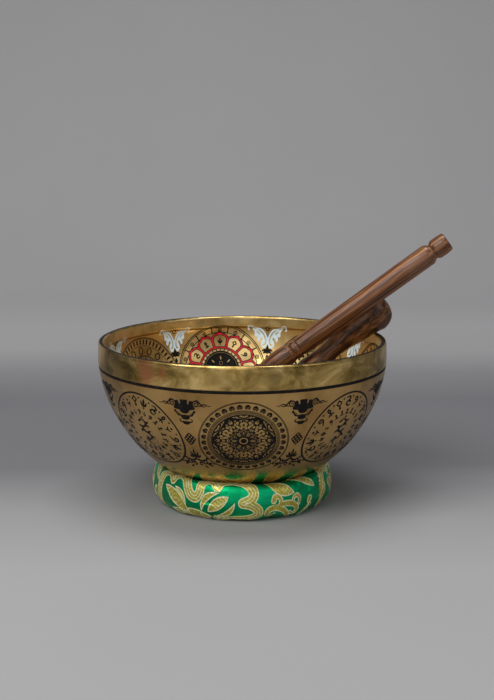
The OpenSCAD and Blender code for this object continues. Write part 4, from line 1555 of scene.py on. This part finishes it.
    # what the bowl hides: the same band and leaves, turned over, on the cushion's top and inside
    for arc in ([(-84, 33), (-76, 28.4), (-67, 29.6), (-62, 35.6), (-55, 38.6), (-47.4, 35.2)], [(-47.4, 35.2), (-42, 29.4), (-31, 28.6), (-23, 33.4), (-20.6, 41.6), (-26, 48.4), (-36, 51.0)]):
        band(smooth_line(arc, 7), 7.0, (0.9,))
    petal((6, 33), (-10, 47), 8.0, 2.0)
    petal((10, 32), (6, 52), 7.0, -1.5)
    petal((14, 33), (30, 44), 7.0, -2.0)
    A.stroke(smooth_line([(44, 33), (52, 30.6), (58, 34.6), (56.4, 40.8), (50.4, 41.6), (48.6, 37.8)], 7), [2.6, 4.2, 4.4, 3.8, 2.8])
    A.stroke(smooth_line([(66, 46), (71, 38), (79, 36.6), (81, 42.0), (77, 44.6)], 7), [2.4, 4.0, 3.6, 2.6])
    # and under it
    petal((-70, -42), (-48, -52), 8.0, 2.0)
    petal((-72, -40), (-90, -50), 8.0, -2.0)
    A.stroke(smooth_line([(-30, -38), (-18, -44), (-6, -40), (4, -46), (14, -40)], 7), [2.4, 4.2, 4.2, 3.6, 2.4])
    petal((40, -36), (62, -46), 8.0, 2.0)
    petal((38, -38), (22, -50), 7.0, -2.0)
    W = Art(-104, -62, 84, 62, 0.26)
    W.F = np.maximum(np.abs(A.F + 0.5) - 0.42, np.where(A.F > 0.5, 3.0, -3.0))
    for item in lines:
        if item[0] == "stroke":
            W.T, W.O = [np.eye(2)], np.zeros(2)
            W.stroke(smooth_line(item[1], 5), item[2])
        else:
            win, d, inside = item
            W.F[win] = np.minimum(W.F[win], np.maximum(d, inside))
    W.F = np.maximum(W.F, A.F + 0.1)
    return A, W


# ---------------------------------------------------------------- pieces on their bodies
M_OUT, M_IN = brass_outside(), brass_inside()
M_BLACK = black_enamel()

shell = build_bowl([M_OUT, M_IN])
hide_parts("singing_bowl")
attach(shell, "bowl")

M_SATIN = satin()
cover_ob = build_cover(M_SATIN)
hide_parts("cushion_cover")
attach(cover_ob, "cushion")

filling_ob = build_filling(wadding())
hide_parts("cushion_filling")
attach(filling_ob, "cushion")

M_THREAD = sewing_thread()
close_a = fv[close_row * 2]
paths = []
for k in range(STITCHES):
    th = END_SEAM + (k + 0.5) / STITCHES * TAU
    t = np.linspace(-1, 1, 9)
    paths.append(cover_point(th + 0.010 * t, close_a + 0.20 * t, 0.75 * (1 - t**2) - 0.45 * t**4 + 0.1))
ob = stitch_bars("closing_stitches", paths, 0.5 * MM, M_THREAD)
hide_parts("cushion_closing_thread")
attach(ob, "cushion")
paths = []
for k in range(9):
    a = rad(-40 + 84 * k / 8)
    t = np.linspace(-1, 1, 9)
    paths.append(cover_point(END_SEAM + 0.030 * t, a + 0.05 * t, 1.3 * (1 - t**2) - 0.35 * t**4))
ob = stitch_bars("end_seam_stitches", paths, 0.45 * MM, M_THREAD)
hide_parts("cushion_end_seam_thread")
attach(ob, "cushion")

ob = build_mallet("striker_stick", STRIKER, rosewood("striker_rosewood", 1), 41)
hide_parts("striker_mallet")
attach(ob, "striker")
ob = build_mallet("club_stick", CLUB, rosewood("club_rosewood", 5, 0.78), 42)
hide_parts("club_mallet")
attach(ob, "club")

# ---------------------------------------------------------------- the pattern: closed inlays set into the wall
def on(surface, a_deg, s):
    """Outside: degrees from the front. Inside: degrees from the back. Both towards +X."""
    centre = (rad(a_deg - 90) if surface is OUTER else rad(90 - a_deg), s)
    return lambda P, off: surface.place(P, centre, off)


def on_floor(P, off):
    return INNER.points(np.arctan2(P[:, 1], P[:, 0]), IN_S[-1] - np.hypot(P[:, 0], P[:, 1]), off)


def repeat(art, spots, hi, lo, sx=1.0, sy=1.0, bold=0.0, **kw):
    art.F = art.F - bold
    P, T = cut_out(art, **kw)
    P = P * (sx, sy)
    return [(P, T, place, hi, lo) for place in spots]


OUT0 = 0.7
HI, LO = 0.05, -0.25
even_k = [on(OUTER, OUT0 + 90 * k, 72.9) for k in range(4)]
inlay("outer_lattice_medallions", repeat(art_lattice(), even_k, HI, LO, bold=0.07), M_BLACK, "bowl")
parts = []
for k in range(4):
    parts += repeat(art_sprigs(5 * k), [on(OUTER, OUT0 + 45 + 90 * k, 72.9)], HI, LO, bold=0.19)
inlay("outer_sprig_medallions", parts, M_BLACK, "bowl")
between = [OUT0 + 22.5 + 45 * k for k in range(8)]
parts = repeat(art_cloud(), [on(OUTER, a, 40.3) for a in between], HI, LO, 0.95, 1.1, bold=0.12)
parts += repeat(art_knot(), [on(OUTER, a, 73.4) for a in between], HI, LO, 1.27, 1.64, bold=0.12)
parts += repeat(art_scroll(), [on(OUTER, a, 99) for a in between], HI, LO, 0.78, 1.15, bold=0.12)
inlay("outer_clouds_and_knots", parts, M_BLACK, "bowl")


def black_line():
    """The closed ring of black enamel that fills the turned groove under the rim."""
    NU = 384
    ang = np.arange(NU) / NU * TAU - math.pi / 2
    rows = []
    for depth, inset in ((24.86, 0.46), (24.82, 0.17), (24.6, 0.11), (23.4, 0.09), (22.2, 0.11), (21.98, 0.17), (21.94, 0.46)):
        r, z, _, _ = OUTER.at(np.interp(RIM_Z - depth, OUT_Z[::-1], OUT_S[::-1]))
        rr = np.full(NU, r - inset)
        rows.append(np.stack([rr * np.cos(ang), rr * np.sin(ang), np.full(NU, float(z))], -1) * MM)
    n = len(rows)
    idx = np.arange(n * NU).reshape(n, NU)
    up, nx = np.roll(idx, -1, 0), np.roll(idx, -1, 1)
    q = np.stack([idx, nx, np.roll(nx, -1, 0), up], -1).reshape(-1, 4)
    ob = new_object("black_groove_line", np.concatenate(rows), q, M_BLACK, sharp=rad(50))
    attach(ob, "bowl")


def rim_line():
    """The narrow dark line along the top of the rim."""
    NU = 384
    ang = np.arange(NU) / NU * TAU - math.pi / 2
    rows = []
    for mid_r, deg, rad_mm in ((138, 58, 1.75), (138, 60, 2.03), (138, 75, 2.05), (138, 90, 2.05), (136.6, 90, 2.05), (136.6, 102, 2.05), (136.6, 112, 2.03), (136.6, 114, 1.75)):
        r, z = mid_r + rad_mm * math.cos(rad(deg)), 158 + rad_mm * math.sin(rad(deg))
        rr = r + 0 * ang
        rows.append(np.stack([rr * np.cos(ang), rr * np.sin(ang), np.full(NU, z)], -1) * MM)
    n = len(rows)
    idx = np.arange(n * NU).reshape(n, NU)
    nx = np.roll(idx, -1, 1)
    q = np.stack([idx, nx, np.roll(nx, -1, 0), np.roll(idx, -1, 0)], -1).reshape(-1, 4)
    ob = new_object("rim_edge_line", np.concatenate(rows), q, M_EDGE, sharp=rad(50))
    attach(ob, "bowl")


black_line()
M_EDGE = black_enamel("tarnished_rim_edge", (0.012, 0.009, 0.006), (0.07, 0.045, 0.020))
rim_line()

M_RED = enamel("red_enamel", (0.74, 0.006, 0.030), (0.46, 0.004, 0.018), 0.40)
M_SKY = enamel("pale_blue_enamel", (0.80, 0.96, 1.0), (0.68, 0.89, 0.98), 0.44)
lotus = [on(INNER, a, 58.3) for a in (-10.6, 79.7, 171.0, 262.3)]
inlay("inner_lotus_black", repeat(art_lotus_black(), lotus, 0.07, LO, 1.065, 1.065, bold=0.2, fine=(33, 0.7)), M_BLACK, "bowl")
inlay("inner_lotus_red", repeat(art_lotus_red(), lotus, 0.12, LO, 1.065, 1.065, bold=0.05), M_RED, "bowl")
inlay("inner_wheels_black",
      repeat(art_wheel(True), [on(INNER, 34.0, 60.5), on(INNER, 216.7, 60.5)], HI, LO, bold=0.14, fine=(38, 0.8))
      + repeat(art_wheel(False), [on(INNER, 125.3, 60.5), on(INNER, 308.0, 60.5)], HI, LO, bold=0.14, fine=(38, 0.8)), M_BLACK, "bowl")
mids = [11.4, 56.8, 102.4, 148.2, 193.8, 239.4, 289.0, 327.25]
# hand-painted: no two pairs are quite the same size
parts = []
for a, sx in zip(mids, (1.06, 0.98, 1.02, 0.96, 1.0, 1.04, 0.96, 0.90)):
    parts += repeat(art_wings(), [on(INNER, a, 22.7)], 0.10, LO, sx, 0.98, fine=(7, 1.0))
inlay("inner_wings_blue", parts, M_SKY, "bowl")
inlay("inner_leaves_black", repeat(art_fleur(), [on(INNER, a, 27.0) for a in mids], HI, LO, bold=0.1), M_BLACK, "bowl")
inlay("floor_star", repeat(art_floor_star(), [on_floor], HI, LO, pitch=2.4), M_BLACK, "bowl")

# ---------------------------------------------------------------- woven gold on the cloth
M_GOLD = gold_thread("woven_gold", (0.52, 0.46, 0.055), (0.74, 0.66, 0.13), 0.62)
M_PALE = gold_thread("pale_gold_outline", (0.90, 0.91, 0.54), (0.98, 0.97, 0.70), 0.25, 0.0009, 0.34)
gold, pale = art_brocade()
repeats = [cloth_place(u) for u in (0.0, -183.5, -365.6)]
P, T = cut_out(gold, tol=0.05, pitch=1.8)
inlay("brocade_gold", [(P, T, f, 0.24, -0.35) for f in repeats], M_GOLD, "cushion")
P, T = cut_out(pale, tol=0.05, pitch=1.8)
inlay("brocade_outlines", [(P, T, f, 0.34, -0.1) for f in repeats], M_PALE, "cushion")

# ---------------------------------------------------------------- floor, backdrop, light
def sweep():
    prof = [(-4.0, 0.0), (-2.0, 0.0), (0.0, 0.0), (1.3, 0.0)]
    for k in range(1, 19):
        a = rad(90 * k / 18)
        prof.append((1.3 + 0.9 * math.sin(a), 0.9 - 0.9 * math.cos(a)))
    prof += [(2.2, 2.0), (2.2, 4.5)]
    xs = (-4.5, 4.5)
    v = [(x, y, z) for y, z in prof for x in xs]
    f = [(2 * i, 2 * i + 1, 2 * i + 3, 2 * i + 2) for i in range(len(prof) - 1)]
    return new_object("studio_sweep", v, f, studio("studio_paper", (0.40, 0.40, 0.405), (0.43, 0.43, 0.435)))


floor = sweep()


def area(name, at, to, size, power, colour=(1, 1, 1), shape="RECTANGLE", size_y=None):
    d = bpy.data.lights.new(name, "AREA")
    d.shape = shape
    d.size = size
    if size_y:
        d.size_y = size_y
    d.energy = power
    d.color = colour
    o = bpy.data.objects.new(name, d)
    bpy.context.scene.collection.objects.link(o)
    o.location = at
    o.rotation_euler = (Vector(to) - Vector(at)).to_track_quat("-Z", "Y").to_euler()
    return o


area("key", (-1.15, -1.5, 1.9), (0, 0, 0.1), 1.5, 41, (1.0, 0.985, 0.96), size_y=1.3)
area("fill", (1.7, -1.3, 1.3), (0, 0, 0.1), 1.2, 7, (0.97, 0.985, 1.0), size_y=1.2)
area("top", (0.0, 0.0, 2.3), (0, 0, 0), 1.4, 25, size_y=1.0)
area("front_low", (-0.3, -2.6, 0.7), (0, 0, 0.1), 1.4, 7, size_y=0.6)

world = bpy.data.worlds.new("studio_air")
bpy.context.scene.world = world
world.use_nodes = True
world.node_tree.nodes["Background"].inputs[0].default_value = (0.75, 0.76, 0.78, 1)
world.node_tree.nodes["Background"].inputs[1].default_value = 0.17
bpy.context.scene.view_settings.view_transform = "Standard"
bpy.context.scene.view_settings.look = "None"
